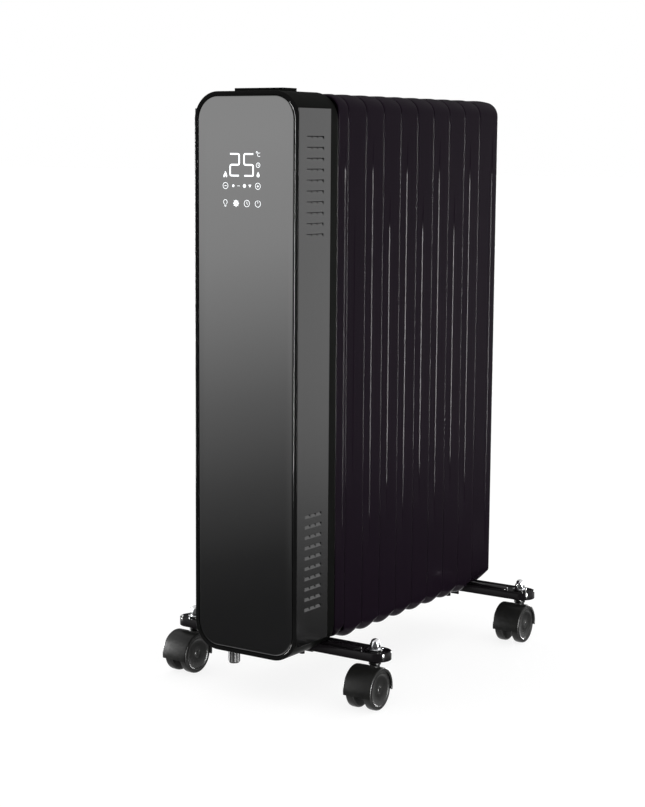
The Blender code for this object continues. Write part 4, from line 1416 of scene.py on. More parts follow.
@dataclass
class FinStack:
    """The ten pressed fins and the two galleries they hang on."""

    shop: Workshop
    body: Body
    sheet: float = 1.2 * MM
    edge_round: float = 1.0 * MM
    top_corner: float = 18 * MM
    low_corner: float = 14 * MM
    bottom: float = 5 * MM
    end_bottom: float = 9.7 * MM
    crease_depth: float = 0.82 * MM
    crease_at: float = 12.6 * MM
    rear_crease: float = 11.8 * MM
    crease_width: float = 1.1 * MM
    crease_fade: float = 60 * MM
    bottom_bulge: float = 8.0 * MM
    top_bulge: float = 1.2 * MM
    rim_depth: float = 9 * MM
    rim_gap: float = 0.6 * MM
    row_step: float = 2.4 * MM
    around: int = 420
    arc_steps: int = 5
    corner_steps: int = 12
    count: int = 10

    def build(self) -> None:
        """Builds every fin and dresses what runs through them."""
        for number in range(1, self.count + 1):
            self.build_fin(number)
        self.shop.dress(Slot.RAW_STEEL, "upper_oil_gallery", "lower_oil_gallery")

    def section(self, depth: float) -> bpy.types.Mesh:
        """The fin's section from its web's rear, round its rim and back to its web's front.

        Args:
            depth: How deep the fin is.

        Returns:
            A mesh of one open line, with the inset as X and the depth as Y.
        """
        edge, sheet = self.edge_round, self.sheet
        gap, rim = self.rim_gap, self.rim_depth
        turns = [pi / 2 * step / self.arc_steps for step in range(self.arc_steps + 1)]
        points = [
            (rim, depth),
            *[(edge - edge * sin(t), depth - edge + edge * cos(t)) for t in turns],
            *[(0.0, level) for level in self.section_levels(depth)],
            *[(edge - edge * cos(t), edge - edge * sin(t)) for t in turns],
            (edge + gap, gap / 2),
            (sheet + 0.2 * MM, edge + 0.8 * MM),
            (sheet + 0.2 * MM, depth - sheet - gap),
            (rim, depth - sheet),
        ]
        mesh = bpy.data.meshes.new("fin_section")
        edges = [(index, index + 1) for index in range(len(points) - 1)]
        mesh.from_pydata([(x, y, 0.0) for x, y in points], edges, [])
        return mesh

    def section_levels(self, depth: float) -> list[float]:
        """The depths of the flank's points, rearmost first and closest about the crease.

        Args:
            depth: How deep the fin is.

        Returns:
            The depths behind the fin's front edge.
        """
        crease, width, step = self.crease_place(depth), self.crease_width, self.row_step
        levels = {crease + share * width for share in (-0.3, 0.0, 0.2, 0.8, 1.0, 1.3)}
        level = depth - self.edge_round - step
        while level > self.edge_round + self.rim_gap:
            if not crease - step / 2 < level < crease + width + step / 2:
                levels.add(level)
            level -= step
        return sorted(levels, reverse=True)

    def crease_place(self, depth: float) -> float:
        """How far behind its front edge a fin of some depth is creased."""
        end_fin = depth > 40 * MM
        return depth - self.rear_crease if end_fin else min(self.crease_at, depth * 0.7)

    def build_fin(self, number: int) -> None:
        """Builds one fin.

        Args:
            number: Its place from the front, starting at 1.
        """
        node = f"fin_{number:02d}"
        low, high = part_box(node)
        depth = high.y - low.y
        section = self.section(depth)
        recipe = Recipe(node)
        ends = number in (1, self.count)
        bottom = self.body.low.z + (self.end_bottom if ends else self.bottom)
        width = recipe.size("Width", high.x - low.x)
        height = recipe.size("Height", high.z - bottom)
        middle = recipe.size("Middle", (high.z + bottom) / 2)
        front = recipe.size("Front", low.y)
        corners = (
            recipe.size("Low corner radius", self.low_corner),
            recipe.size("Top corner radius", self.top_corner),
        )
        sweep = self.swept(recipe, width, height, corners, len(section.vertices))
        level = recipe.math("ADD", sweep.edge[1], middle)
        dip = self.creased(recipe, number, depth, level, sweep.back)
        inward = recipe.math("ADD", sweep.inset, dip)
        x_offset = recipe.math("MULTIPLY", sweep.along[1], inward)
        x = recipe.math("SUBTRACT", sweep.edge[0], x_offset)
        z = recipe.math("ADD", level, recipe.math("MULTIPLY", sweep.along[0], inward))
        rise = self.scalloped(recipe, depth, height, corners, sweep)
        place = recipe.vector(
            x, recipe.math("ADD", sweep.back, front), recipe.math("ADD", z, rise)
        )
        placed = recipe.add("SetPosition", {"Geometry": sweep.points, "Position": place})
        merged = recipe.add(
            "MergeByDistance", {"Geometry": placed.outputs[0], "Distance": 0.01 * MM}
        )
        made = recipe.run(self.shop, merged.outputs[0], section, Slot.FIN_ENAMEL)
        sketch = Sketch().take(made)
        open_edges = [edge for edge in sketch.bm.edges if edge.is_boundary]
        bmesh.ops.holes_fill(sketch.bm, edges=open_edges, sides=0)
        name = f"{node}_pressing"
        self.shop.install(name, sketch.mesh(name, 40), Slot.FIN_ENAMEL, nodes=[node])

    def swept(
        self,
        recipe: Recipe,
        width: Socket,
        height: Socket,
        corners: tuple[Socket, Socket],
        rows: int,
    ) -> Sweep:
        """Carries the section round the fin's outline, on a grid of points.

        Args:
            recipe: The fin's tree, whose geometry in is the section.
            width: The outline's width.
            height: The outline's height.
            corners: The radii of its low and its top corners.
            rows: How many points the section has.

        Returns:
            The sockets of every point's place on the outline and in the section.
        """
        square = recipe.add(
            "CurvePrimitiveQuadrilateral", {"Width": width, "Height": height}, mode="RECTANGLE"
        )
        square_level = recipe.split(recipe.add("InputPosition", {}).outputs[0])[1]
        radius = recipe.smooth(square_level, -1 * MM, 1 * MM, *corners)
        rounded = recipe.add(
            "FilletCurve",
            {"Curve": square.outputs[0], "Radius": radius, "Count": self.corner_steps},
            mode="POLY",
        )
        grid = recipe.add(
            "MeshGrid",
            {"Size X": 1.0, "Size Y": 1.0, "Vertices X": self.around + 1, "Vertices Y": rows},
        )
        place = recipe.split(recipe.add("InputPosition", {}).outputs[0])
        share_round = recipe.math("ADD", place[0], 0.5)
        row = recipe.math("MULTIPLY", recipe.math("ADD", place[1], 0.5), float(rows - 1))
        outline = recipe.add(
            "SampleCurve", {"Curves": rounded.outputs[0], "Factor": share_round}, mode="FACTOR"
        )
        whole_row = recipe.add("FunctionNodeFloatToInt", {0: row}, rounding_mode="ROUND")
        profile = recipe.add(
            "SampleIndex",
            {
                "Geometry": recipe.entry.outputs[0],
                "Value": recipe.add("InputPosition", {}).outputs[0],
                "Index": whole_row.outputs[0],
            },
            data_type="FLOAT_VECTOR",
            domain="POINT",
        )
        inset, back, _ = recipe.split(profile.outputs[0])
        return Sweep(
            grid.outputs[0],
            recipe.split(outline.outputs["Position"]),
            recipe.split(outline.outputs["Tangent"]),
            inset,
            back,
        )

    def creased(
        self, recipe: Recipe, number: int, depth: float, level: Socket, back: Socket
    ) -> Socket:
        """How far the crease presses the flank in, with its two ends faded out.

        Args:
            recipe: The fin's tree.
            number: The fin's place from the front.
            depth: How deep the fin is.
            level: The socket of the point's height.
            back: The socket of how far behind the front edge the point is.

        Returns:
            The socket of the depth.
        """
        strength = 0.5 if number == 2 else 1.0
        pressed = recipe.size("Crease depth", self.crease_depth * strength)
        low, high = (reach + self.body.low.z for reach in self.crease_reach(number))
        top, bottom = recipe.size("Crease top", high), recipe.size("Crease bottom", low)
        start = recipe.size("Crease place", self.crease_place(depth))
        top_start = recipe.math("SUBTRACT", top, self.crease_fade)
        bottom_end = recipe.math("ADD", bottom, self.crease_fade)
        fade_top = recipe.smooth(level, top_start, top, 1.0, 0.0)
        fade_bottom = recipe.smooth(level, bottom, bottom_end, 0.0, 1.0)
        end = recipe.math("ADD", start, self.crease_width)
        step = recipe.smooth(back, start, end, 1.0, 0.0, "LINEAR")
        return recipe.math(
            "MULTIPLY",
            recipe.math("MULTIPLY", pressed, step),
            recipe.math("MULTIPLY", fade_top, fade_bottom),
        )

    def scalloped(
        self,
        recipe: Recipe,
        depth: float,
        height: Socket,
        corners: tuple[Socket, Socket],
        sweep: Sweep,
    ) -> Socket:
        """How far the fin's edges draw in towards its seams, at its bottom and its top.

        Args:
            recipe: The fin's tree.
            depth: How deep the fin is.
            height: The socket of the fin's height.
            corners: The radii of its low and its top corners.
            sweep: The sockets of the points.

        Returns:
            The socket of the rise.
        """
        turn = recipe.math("MULTIPLY", recipe.math("DIVIDE", sweep.back, depth), pi)
        flat = recipe.math("SUBTRACT", 1.0, recipe.math("SINE", turn))
        half = recipe.math("MULTIPLY", height, 0.5)
        rises = []
        for label, bulge, sign, corner in (
            ("Bottom bulge", self.bottom_bulge, -1.0, corners[0]),
            ("Top bulge", self.top_bulge, 1.0, corners[1]),
        ):
            outwards = recipe.math("MULTIPLY", sweep.edge[1], sign)
            past = recipe.math("ADD", recipe.math("SUBTRACT", outwards, half), corner)
            share = recipe.math("DIVIDE", recipe.math("MAXIMUM", past, 0.0), corner)
            drawn = recipe.math("MULTIPLY", recipe.size(label, bulge), flat)
            rises.append(recipe.math("MULTIPLY", drawn, share))
        return recipe.math("SUBTRACT", *rises)

    def crease_reach(self, number: int) -> Point:
        """The lowest and highest level of a fin's crease, up from the rim.

        Args:
            number: The fin's place from the front.

        Returns:
            The two levels.
        """
        if number == self.count:
            return 40 * MM, 550 * MM
        if number == 2:
            return 160 * MM, 470 * MM
        if number % 2:
            return 90 * MM, 545 * MM
        return 120 * MM, 485 * MM


@dataclass
class FootBracket:
    """A pressed channel under the fins, with its rib, bosses and clamp."""

    shop: Workshop
    end: str
    steps: int = 20
    plate: float = 7 * MM
    sheet: float = 1.8 * MM
    rib_half: float = 6 * MM
    rib_end: float = 101 * MM
    boss_radius: float = 8 * MM

    def build(self) -> None:
        """Builds the bracket and dresses its clamp."""
        node = f"{self.end}_foot_bracket"
        low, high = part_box(node)
        self.centre = (low + high) / 2
        self.low = low
        self.half_length = (high.x - low.x) / 2
        self.half_width = (high.y - low.y) / 2
        top = high.z - low.z
        under = self.plate - self.sheet
        lip = 1.1 * MM
        levels = [
            (self.sheet, under),
            (self.sheet, 0.4 * MM),
            (self.sheet - 0.4 * MM, 0.0),
            (0.4 * MM, 0.0),
            (0.0, 0.4 * MM),
            (0.0, top - lip),
            *[(lip - lip * cos(t), top - lip + lip * sin(t)) for t in (pi / 6, pi / 3, pi / 2)],
            (lip + 0.7 * MM, top - 0.15 * MM),
            (lip + 1.6 * MM, self.plate + 0.5 * MM),
            (lip + 2.8 * MM, self.plate),
        ]
        sketch = Sketch().loft([self.stadium(inset, z) for inset, z in levels])
        sketch.loft(
            [
                self.rib_ring(0.0, under + 0.4 * MM),
                self.rib_ring(0.0, self.plate + 0.4 * MM),
                self.rib_ring(0.7 * MM, self.plate + 1.4 * MM),
                self.rib_ring(1.6 * MM, top - 0.25 * MM),
                self.rib_ring(2.6 * MM, top),
            ]
        )
        for side in Side:
            nut_low, nut_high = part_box(f"{self.end}_{side.name.lower()}_dome_nut")
            place = (nut_low + nut_high) / 2
            radius = self.boss_radius
            sketch.turned(
                [
                    (0, under),
                    (radius, under),
                    (radius, self.plate + 0.6 * MM),
                    (radius - 0.5 * MM, self.plate + 1.5 * MM),
                    (radius - 1.4 * MM, top),
                    (0, top),
                ],
                40, Axis.Z, Vector((place.x, self.centre.y, low.z)),
            )
        mesh = sketch.mesh(f"{self.end}_channel", 35)
        self.shop.install(f"{self.end}_channel", mesh, Slot.BRACKET_ENAMEL, nodes=[node])
        self.shop.dress(
            Slot.BRACKET_ENAMEL, f"{self.end}_hook_bolt", f"{self.end}_wing_nut"
        )

    def stadium(self, inset: float, z: float) -> Ring:
        """A ring with straight sides and round ends.

        Args:
            inset: How far inside the bracket's edge it is.
            z: Its height over the bracket's bottom.

        Returns:
            The ring's points.
        """
        radius = self.half_width - inset
        return self.round_ended(radius, self.half_length - self.half_width, z)

    def rib_ring(self, inset: float, z: float) -> Ring:
        """A ring of the raised rib.

        Args:
            inset: How far inside the rib's foot it is.
            z: Its height over the bracket's bottom.

        Returns:
            The ring's points.
        """
        return self.round_ended(self.rib_half - inset, self.rib_end - self.rib_half, z)

    def round_ended(self, radius: float, reach: float, z: float) -> Ring:
        """A ring with half circles at both ends.

        Args:
            radius: The half circles' radius.
            reach: How far their centres stand from the middle.
            z: Its height over the bracket's bottom.

        Returns:
            The ring's points.
        """
        ring = []
        for side, first in ((1, -90), (-1, 90)):
            for step in range(self.steps + 1):
                turn = radians(first + 180 * step / self.steps)
                ring.append(
                    Vector(
                        (
                            self.centre.x + side * reach + radius * cos(turn),
                            self.centre.y + radius * sin(turn),
                            self.low.z + z,
                        )
                    )
                )
        return ring


@dataclass
class Caster:
    """A twin-wheel caster with its stem and the dome nut over it."""

    shop: Workshop
    end: str
    side: Side
    hood_radius: float = 23.6 * MM
    hood_inside: float = 22.2 * MM
    hood_half: float = 16.6 * MM
    wall_inside: float = 15.8 * MM
    web_half: float = 2.8 * MM
    opening: float = 19.9 * MM
    edge_round: float = 1.4 * MM
    drop: float = 10.0
    socket_radius: float = 5.4 * MM
    collar_radius: float = 6.5 * MM
    boss_radius: float = 6.5 * MM
    wheel_radius: float = 21.2 * MM
    wheel_inner: float = 5.8 * MM
    wheel_outer: float = 15.4 * MM
    axle_bore: float = 3.45 * MM
    bore_end: float = 12.4 * MM
    stem_radius: float = 3.0 * MM
    shoulder_radius: float = 6.0 * MM
    thread_pitch: float = 1.0 * MM
    thread_depth: float = 0.35 * MM
    dome_radius: float = 4.8 * MM
    nut_half: float = 5.2 * MM
    steps: int = 44
    nut_steps: int = 48

    def build(self) -> None:
        """Builds every piece of the caster."""
        self.corner = f"{self.end}_{self.side.name.lower()}"
        self.body = f"{self.corner}_caster"
        stem_low, stem_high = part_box(f"{self.corner}_caster_stem")
        self.stem = (stem_low + stem_high) / 2
        low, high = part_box(f"{self.corner}_caster_axle")
        self.hub = (low + high) / 2
        yaw = atan2(self.hub.x - self.stem.x, self.stem.y - self.hub.y)
        self.put = Matrix.Translation(self.hub) @ Matrix.Rotation(yaw, 4, "Z")
        self.build_hood()
        self.build_stem(stem_low, stem_high)
        self.build_nut()
        for place in ("inner", "outer"):
            self.build_wheel(place)
        self.shop.dress(Slot.BRIGHT_STEEL, f"{self.corner}_caster_axle")

    def hood_section(self) -> list[Point]:
        """The hood's closed section, as distances along and from the axle."""
        r, half, edge = self.hood_radius, self.hood_half, self.edge_round
        right = [
            (half - edge + edge * sin(t), r - edge + edge * cos(t))
            for t in (0, pi / 8, pi / 4, 3 * pi / 8, pi / 2)
        ]
        right += [
            (half, self.opening + 0.4 * MM),
            (half - 0.3 * MM, self.opening),
            (self.wall_inside, self.opening),
            (self.wall_inside, self.hood_inside),
            (self.web_half, self.hood_inside),
            (self.web_half, 5.2 * MM),
        ]
        return right + [(-x, reach) for x, reach in reversed(right)]

    def build_hood(self) -> None:
        """Turns the hood's section over the wheels and adds the stem's socket."""
        first, last = -self.drop, 180 + self.drop
        section = self.hood_section()
        rings = []
        for step in range(self.steps + 1):
            turn = radians(first + (last - first) * step / self.steps)
            rings.append(
                [
                    self.put @ Vector((x, reach * cos(turn), reach * sin(turn)))
                    for x, reach in section
                ]
            )
        sketch = Sketch().loft(rings)
        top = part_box(f"{self.corner}_caster_hood")[1].z
        bottom = self.hub.z + 6 * MM
        base = Vector((self.stem.x, self.stem.y, bottom))
        rise = top - bottom
        socket, collar = self.socket_radius, self.collar_radius
        sketch.turned(
            [
                (0, 0),
                (socket, 0),
                (socket, rise - 3.4 * MM),
                (collar - 0.3 * MM, rise - 3.0 * MM),
                (collar, rise - 2.6 * MM),
                (collar, rise - 0.6 * MM),
                (collar - 0.5 * MM, rise),
                (4.2 * MM, rise),
                (3.9 * MM, rise - 1.2 * MM),
                (0, rise - 1.2 * MM),
            ],
            32, Axis.Z, base,
        )
        sketch.take(self.axle_boss())
        name = f"{self.corner}_hood"
        mesh = sketch.mesh(name, 30)
        self.shop.install(
            name, mesh, Slot.CASTER_PLASTIC, self.body, [f"{self.corner}_caster_hood"]
        )

    def axle_boss(self) -> bpy.types.Mesh:
        """The boss in the hood's web that holds the axle."""
        half, boss = self.web_half - 0.05 * MM, self.boss_radius
        profile = [(0, 0), (boss, 0), (boss, 2 * half), (0, 2 * half)]
        sketch = Sketch().turned(profile, 32, Axis.X, Vector((-half, 0, 0)))
        bmesh.ops.transform(sketch.bm, matrix=self.put, verts=sketch.bm.verts)
        return sketch.mesh("axle_boss")

    def build_wheel(self, place: str) -> None:
        """Turns one wheel, with its dished outer face.

        Args:
            place: Which wheel it is, inner or outer.
        """
        outwards = self.side.value * (1 if place == "outer" else -1)
        inner, outer, radius = self.wheel_inner, self.wheel_outer, self.wheel_radius
        profile = [
            (0, outer - 0.9 * MM),
            (3.0 * MM, outer - 0.9 * MM),
            (3.6 * MM, outer - 1.3 * MM),
            (4.4 * MM, outer - 1.5 * MM),
            (radius - 6.4 * MM, outer - 1.15 * MM),
            (radius - 4.9 * MM, outer - 0.6 * MM),
            (radius - 4.3 * MM, outer - 0.15 * MM),
            (radius - 3.7 * MM, outer),
            (radius - 2.0 * MM, outer),
            (radius - 1.1 * MM, outer - 0.35 * MM),
            (radius - 0.35 * MM, outer - 1.1 * MM),
            (radius - 0.05 * MM, outer - 2.2 * MM),
            (radius, (inner + outer) / 2),
            (radius - 0.05 * MM, inner + 2.2 * MM),
            (radius - 0.35 * MM, inner + 1.1 * MM),
            (radius - 1.1 * MM, inner + 0.35 * MM),
            (radius - 2.2 * MM, inner),
            (4.0 * MM, inner),
            (self.axle_bore, inner + 0.3 * MM),
            (self.axle_bore, self.bore_end),
            (0, self.bore_end),
        ]
        sketch = Sketch().turned(profile, 56, Axis.X, Vector((0, 0, 0)))
        turn = self.put @ (Matrix.Identity(4) if outwards > 0 else Matrix.Rotation(pi, 4, "Z"))
        bmesh.ops.transform(sketch.bm, matrix=turn, verts=sketch.bm.verts)
        name = f"{self.corner}_{place}_tyre"
        node = f"{self.corner}_{place}_wheel"
        self.shop.install(name, sketch.mesh(name, 28), Slot.WHEEL_PLASTIC, node, [node])

    def build_stem(self, low: Vector, high: Vector) -> None:
        """Turns the steel stem, with its shoulder and its threaded top.

        Args:
            low: The lowest corner of the stem's node.
            high: Its highest corner.
        """
        radius, shoulder = self.stem_radius, self.shoulder_radius
        length = high.z - low.z
        bracket_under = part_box(f"{self.end}_foot_bracket")[0].z + 5.2 * MM
        step = bracket_under - 0.3 * MM - low.z
        profile: list[Point] = [(0, 0), (radius - 0.6 * MM, 0), (radius, 0.6 * MM)]
        profile += [(radius, step - 2.6 * MM), (shoulder - 0.4 * MM, step - 2.6 * MM)]
        profile += [(shoulder, step - 2.2 * MM), (shoulder, step - 0.4 * MM)]
        profile += [(shoulder - 0.4 * MM, step), (radius - 0.1 * MM, step)]
        level = step + 0.5 * MM
        while level < length - 1.2 * MM:
            root = (radius - self.thread_depth, level + self.thread_pitch / 2)
            profile += [(radius, level), root]
            level += self.thread_pitch
        profile += [(radius - 0.6 * MM, length), (0, length)]
        place = Vector((self.stem.x, self.stem.y, low.z))
        name = f"{self.corner}_stem"
        mesh = Sketch().turned(profile, 28, Axis.Z, place).mesh(name)
        self.shop.install(name, mesh, Slot.RAW_STEEL, nodes=[f"{self.corner}_caster_stem"])

    def build_nut(self) -> None:
        """Builds the chrome dome nut: a flange, a hexagon with rounded corners and a dome."""
        low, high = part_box(f"{self.corner}_dome_nut")
        place = Vector(((low.x + high.x) / 2, (low.y + high.y) / 2, low.z))
        rise = high.z - low.z
        flange, dome = (high.x - low.x) / 2, self.dome_radius
        cap = [
            (dome * sin(t), rise - dome + dome * cos(t))
            for t in [pi / 2 * step / 10 for step in range(11)]
        ]
        cap += [(dome, 3.0 * MM), (0, 3.0 * MM)]
        washer = [
            (0, 0),
            (flange - 0.3 * MM, 0),
            (flange, 0.3 * MM),
            (flange, 0.9 * MM),
            (flange - 0.6 * MM, 1.4 * MM),
            (0, 1.8 * MM),
        ]
        sketch = Sketch()
        for profile in (cap, washer):
            sketch.turned(profile, self.nut_steps, Axis.Z, place)
        levels = ((1.2, 0.0), (1.5, 0.6), (5.2, 0.6), (6.4, 0.25), (6.8, 0.0))
        sketch.loft([self.hexagon(place, z * MM, spread * MM) for z, spread in levels])
        name = f"{self.corner}_cap_nut"
        self.shop.install(
            name, sketch.mesh(name, 28), Slot.CHROME, nodes=[f"{self.corner}_dome_nut"]
        )

    def hexagon(self, place: Vector, z: float, spread: float) -> Ring:
        """A ring of the nut's hexagon, with its corners turned off.

        Args:
            place: The middle of the nut's bottom.
            z: The ring's height over it.
            spread: How far the corners reach past the flats.

        Returns:
            The ring's points.
        """
        across = self.nut_half
        ring = []
        for step in range(self.nut_steps):
            turn = 2 * pi * step / self.nut_steps
            from_flat = (turn + pi / 6) % (pi / 3) - pi / 6
            reach = min(across / cos(from_flat), across + spread)
            ring.append(place + Vector((reach * cos(turn), reach * sin(turn), z)))
        return ring


@dataclass
class Inside:
    """What the housing hides: the boards, the devices, the element and its plugs."""

    shop: Workshop

    def build(self) -> None:
        """Dresses the hidden nodes."""
        self.shop.dress(Slot.CIRCUIT_BOARD, "display_board", "power_board")
        self.shop.dress(Slot.RELAY_PLASTIC, "relay", "room_sensor", "tip_over_switch")
        self.shop.dress(Slot.ELEMENT_STEEL, "heating_element", "tip_over_pendulum")
        self.shop.dress(Slot.BRASS, "element_flange", "oil_filler_plug")
        self.shop.dress(Slot.BRIGHT_STEEL, "thermal_cutoff")


# ---------------------------------------------------------------- the studio


@dataclass(frozen=True)
class Strip:
    """A tall strip light, by its bearing from +X towards -Y in degrees and its distance."""

    name: str
    bearing: float
    distance: float
    width: float
    power: float


@dataclass
class Studio:
    """The floor, the lights and the camera."""

    camera_place: Color = (1.0987, -1.6986, 0.5763)
    azimuth: float = 33.8675
    pitch: float = 8.0305
    roll: float = 0.4169
    lens: float = 81.71
    floor_half: float = 30.0
    floor_paint: LampFinish = LampFinish(
        "floor_paint", (0.18, 0.18, 0.18), (0.19, 0.19, 0.19),
        (0.10, 0.13), 1.5, 40.0, 0.000002, reflectance=0.003,
        strength=0.85, glow=(1.0, 1.0, 1.0),
    )
    bright: float = 1.37
    plain: float = 1.1
    seen: float = 1.0
    left_wall: tuple[Point, ...] = (
        (-90.0, 0.62), (-50.0, 0.55), (-30.0, 0.12), (-20.0, 0.03), (-15.1, 0.045),
        (-13.6, 0.067), (-11.0, 0.18), (-7.9, 0.394), (-4.8, 0.69), (-2.6, 0.88),
        (1.3, 1.0), (25.0, 0.95), (50.0, 0.55), (90.0, 0.45),
    )
    right_wall: tuple[Point, ...] = (
        (-90.0, 0.45), (-50.0, 0.45), (-44.0, 0.85), (-34.0, 0.85), (-26.0, 0.01), (-14.8, 0.01),
        (-13.0, 0.18), (-11.0, 0.46), (-9.5, 0.82), (-6.4, 0.90), (0.8, 0.90),
        (25.0, 0.88), (50.0, 0.55), (90.0, 0.45),
    )
    far_wall: tuple[Point, ...] = (
        (-90.0, 0.5), (-40.0, 0.9), (-25.0, 0.9), (-5.0, 0.9), (-1.0, 0.4), (3.0, 0.10),
        (30.0, 0.12), (90.0, 0.3),
    )
    side_blend: Point = (-0.15, 0.25)
    far_sector: Point = (-0.6, -0.9)
    unlit: tuple[str, ...] = ("front_glass_pane", "side_trim_left", "side_trim_right")
    dark_sector: Point = (0.62, 0.85)
    dark_level: float = 0.06
    strips: tuple[Strip, ...] = (
        Strip("strip_right", 12.0, 2.2, 0.40, 340.0),
        Strip("strip_left", 168.0, 2.2, 0.40, 340.0),
        Strip("strip_rear_right", -82.0, 2.4, 0.16, 30.0),
        Strip("strip_rear_left", -98.0, 2.4, 0.16, 30.0),
    )
    strip_middle: float = 0.245
    strip_height: float = 0.8

    def build(self) -> None:
        """Sets up the whole studio."""
        bpy.context.scene.view_settings.view_transform = "Standard"
        self.aim_camera()
        self.lay_floor()
        self.light_room()
        self.hang_lights()

    def aim_camera(self) -> None:
        """Stands the camera in front, to the right of the heater."""
        data = bpy.data.cameras.new("camera")
        data.lens = self.lens
        data.clip_end = 200.0
        camera = bpy.data.objects.new("camera", data)
        around, down, roll = (radians(a) for a in (self.azimuth, self.pitch, self.roll))
        ahead = Vector((-sin(around) * cos(down), cos(around) * cos(down), -sin(down)))
        right = Vector((cos(around), sin(around), 0))
        up = right.cross(ahead)
        across = right * cos(roll) + up * sin(roll)
        above = up * cos(roll) - right * sin(roll)
        turn = Matrix((across, above, -ahead)).transposed().to_4x4()
        camera.matrix_world = Matrix.Translation(self.camera_place) @ turn
        bpy.context.scene.collection.objects.link(camera)
        bpy.context.scene.camera = camera

    def lay_floor(self) -> None:
        """Lays the pale floor, which isn't seen in the gloss and keeps no light off the heater."""
        half = self.floor_half
        mesh = bpy.data.meshes.new("floor")
        corners = [(-half, -half, 0), (half, -half, 0), (half, half, 0), (-half, half, 0)]
        mesh.from_pydata(corners, [], [(0, 1, 2, 3)])
        floor = bpy.data.objects.new("floor", mesh)
        bpy.context.scene.collection.objects.link(floor)
        mesh.materials.append(self.floor_paint.make())
        floor.visible_glossy = False
        floor.visible_shadow = False

    def light_room(self) -> None:
        """Lights the room evenly, with bright walls to both sides for the gloss to show."""
        world = bpy.data.worlds.new("room")
        bpy.context.scene.world = world
        world.use_nodes = True
        world.cycles.sampling_method = "NONE"
        tree = world.node_tree
        tree.nodes.clear()
        rays = tree.nodes.new("ShaderNodeLightPath")
        glossy = self.background(tree, self.bright, self.walls(tree))
        plain = self.background(tree, self.plain)
        seen = self.background(tree, self.seen)
        lit = self.chosen(tree, rays.outputs["Is Glossy Ray"], plain, glossy)
        shown = self.chosen(tree, rays.outputs["Is Camera Ray"], lit, seen)
        output = tree.nodes.new("ShaderNodeOutputWorld")
        tree.links.new(shown, output.inputs[0])

    def walls(self, tree: bpy.types.NodeTree) -> Socket:
        """The brightness of the walls all round: left, right, far and dark behind the camera.

        Args:
            tree: The room's nodes.

        Returns:
            The socket of the brightness.
        """
        direction = tree.nodes.new("ShaderNodeTexCoord").outputs["Generated"]
        parts = tree.nodes.new("ShaderNodeSeparateXYZ")
        tree.links.new(direction, parts.inputs[0])
        height = self.ranged(tree, parts.outputs[2], -1.0, 1.0)
        towards = tree.nodes.new("ShaderNodeVectorMath")
        towards.operation = "DOT_PRODUCT"
        around = radians(self.azimuth)
        towards.inputs[1].default_value = (sin(around), -cos(around), 0.0)
        tree.links.new(direction, towards.inputs[0])
        facing = towards.outputs["Value"]
        rightwards = self.ranged(tree, parts.outputs[0], *self.side_blend)
        left, right, far = (
            self.ramp(tree, height, stops)
            for stops in (self.left_wall, self.right_wall, self.far_wall)
        )
        sides = self.mixed(tree, rightwards, left, right)
        round_room = self.mixed(tree, self.ranged(tree, facing, *self.far_sector), sides, far)
        near = self.ranged(tree, facing, *self.dark_sector)
        return self.mixed(tree, near, round_room, self.dark_level)

    def mixed(
        self, tree: bpy.types.NodeTree, factor: Socket, first: Socket, second: Socket | float
    ) -> Socket:
        """A brightness between two.

        Args:
            tree: The room's nodes.
            factor: The socket that says how far towards the second.
            first: The brightness at 0.
            second: The brightness at 1, a socket or a number.

        Returns:
            The socket of the brightness.
        """
        node = tree.nodes.new("ShaderNodeMix")
        node.data_type = "RGBA"
        tree.links.new(factor, node.inputs[0])
        tree.links.new(first, node.inputs[6])
        if isinstance(second, float):
            node.inputs[7].default_value = (second, second, second, 1.0)
        else:
            tree.links.new(second, node.inputs[7])
        return node.outputs[2]

    def chosen(
        self, tree: bpy.types.NodeTree, factor: Socket, first: Socket, second: Socket
    ) -> Socket:
        """One light where the factor is 0 and another where it is 1.

        Args:
            tree: The room's nodes.
            factor: The socket that chooses.
            first: The light at 0.
            second: The light at 1.

        Returns:
            The socket of the light.
        """
        node = tree.nodes.new("ShaderNodeMixShader")
        for index, source in enumerate((factor, first, second)):
            tree.links.new(source, node.inputs[index])
        return node.outputs[0]

    def ranged(
        self, tree: bpy.types.NodeTree, value: Socket, low: float, high: float
    ) -> Socket:
        """Takes a value between two levels to 0 to 1.

        Args:
            tree: The room's nodes.
            value: The socket to read.
            low: The level that gives 0.
            high: The level that gives 1.

        Returns:
            The socket of the result.
        """
        node = tree.nodes.new("ShaderNodeMapRange")
        node.inputs["From Min"].default_value = low
        node.inputs["From Max"].default_value = high
        tree.links.new(value, node.inputs["Value"])
        return node.outputs["Result"]

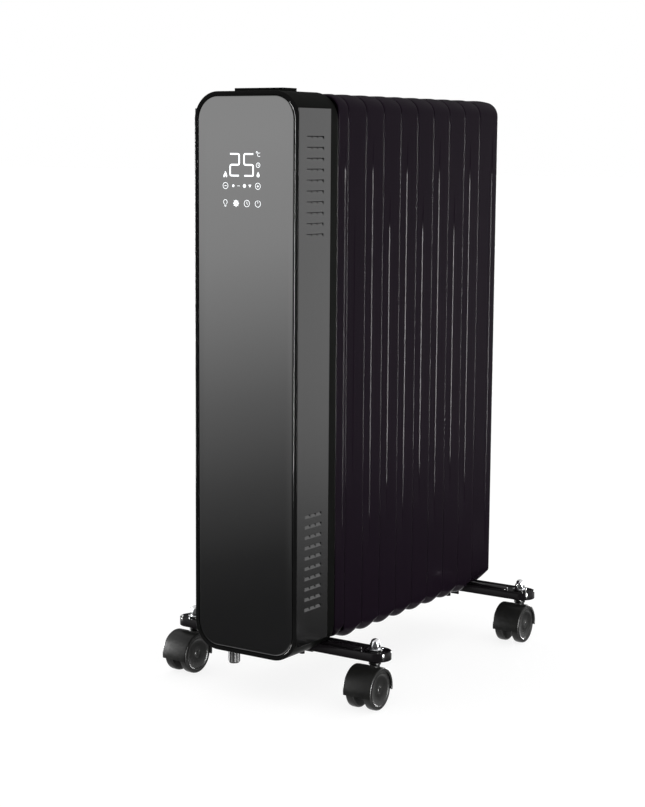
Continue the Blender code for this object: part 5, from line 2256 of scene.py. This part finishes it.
    def ramp(
        self, tree: bpy.types.NodeTree, height: Socket, stops: Sequence[Point]
    ) -> Socket:
        """A wall's brightness by the height of the direction.

        Args:
            tree: The room's nodes.
            height: The socket of the height, 0 straight down and 1 straight up.
            stops: Elevations in degrees with their brightness.

        Returns:
            The socket of the brightness.
        """
        node = tree.nodes.new("ShaderNodeValToRGB")
        tree.links.new(height, node.inputs[0])
        points = node.color_ramp.elements
        points[0].color = (*[stops[0][1]] * 3, 1.0)
        points[-1].color = (*[stops[-1][1]] * 3, 1.0)
        for elevation, value in stops[1:-1]:
            point = points.new(0.5 + 0.5 * sin(radians(elevation)))
            point.color = (value, value, value, 1.0)
        return node.outputs[0]

    def background(
        self, tree: bpy.types.NodeTree, strength: float, color: Socket | None = None
    ) -> Socket:
        """Adds a background to the room.

        Args:
            tree: The room's nodes.
            strength: How bright it is.
            color: The socket of its colour, or None for white.

        Returns:
            The socket of its light.
        """
        node = tree.nodes.new("ShaderNodeBackground")
        node.inputs["Strength"].default_value = strength
        node.inputs["Color"].default_value = (1.0, 1.0, 1.0, 1.0)
        if color is not None:
            tree.links.new(color, node.inputs["Color"])
        return node.outputs[0]

    def hang_lights(self) -> None:
        """Hangs tall strip lights that draw lines down the rounded edges, not in the gloss."""
        lit = bpy.data.collections.new("strip_lit")
        for obj in bpy.context.scene.objects:
            if obj.type == "MESH" and obj.name not in self.unlit:
                lit.objects.link(obj)
        for strip in self.strips:
            turn = radians(-strip.bearing)
            across = Vector((strip.distance * cos(turn), strip.distance * sin(turn), 0))
            data = bpy.data.lights.new(strip.name, "AREA")
            data.shape = "RECTANGLE"
            data.size = strip.width
            data.size_y = self.strip_height
            data.energy = strip.power
            light = bpy.data.objects.new(strip.name, data)
            light.matrix_world = (
                Matrix.Translation(across + Vector((0, 0, self.strip_middle)))
                @ (-across).to_track_quat("-Z", "Y").to_matrix().to_4x4()
            )
            light.visible_camera = False
            light.visible_diffuse = False
            light.light_linking.receiver_collection = lit
            bpy.context.scene.collection.objects.link(light)


def main() -> None:
    """Builds the heater's pieces in order, then the studio round it."""
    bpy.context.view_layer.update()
    shop = Workshop()
    body = Body()
    ControlFront(shop, body).build()
    Housing(shop, body).build()
    FinStack(shop, body).build()
    for end in ("front", "rear"):
        FootBracket(shop, end).build()
        for side in Side:
            Caster(shop, end, side).build()
    Inside(shop).build()
    Studio().build()


if __name__ == "__main__":
    main()
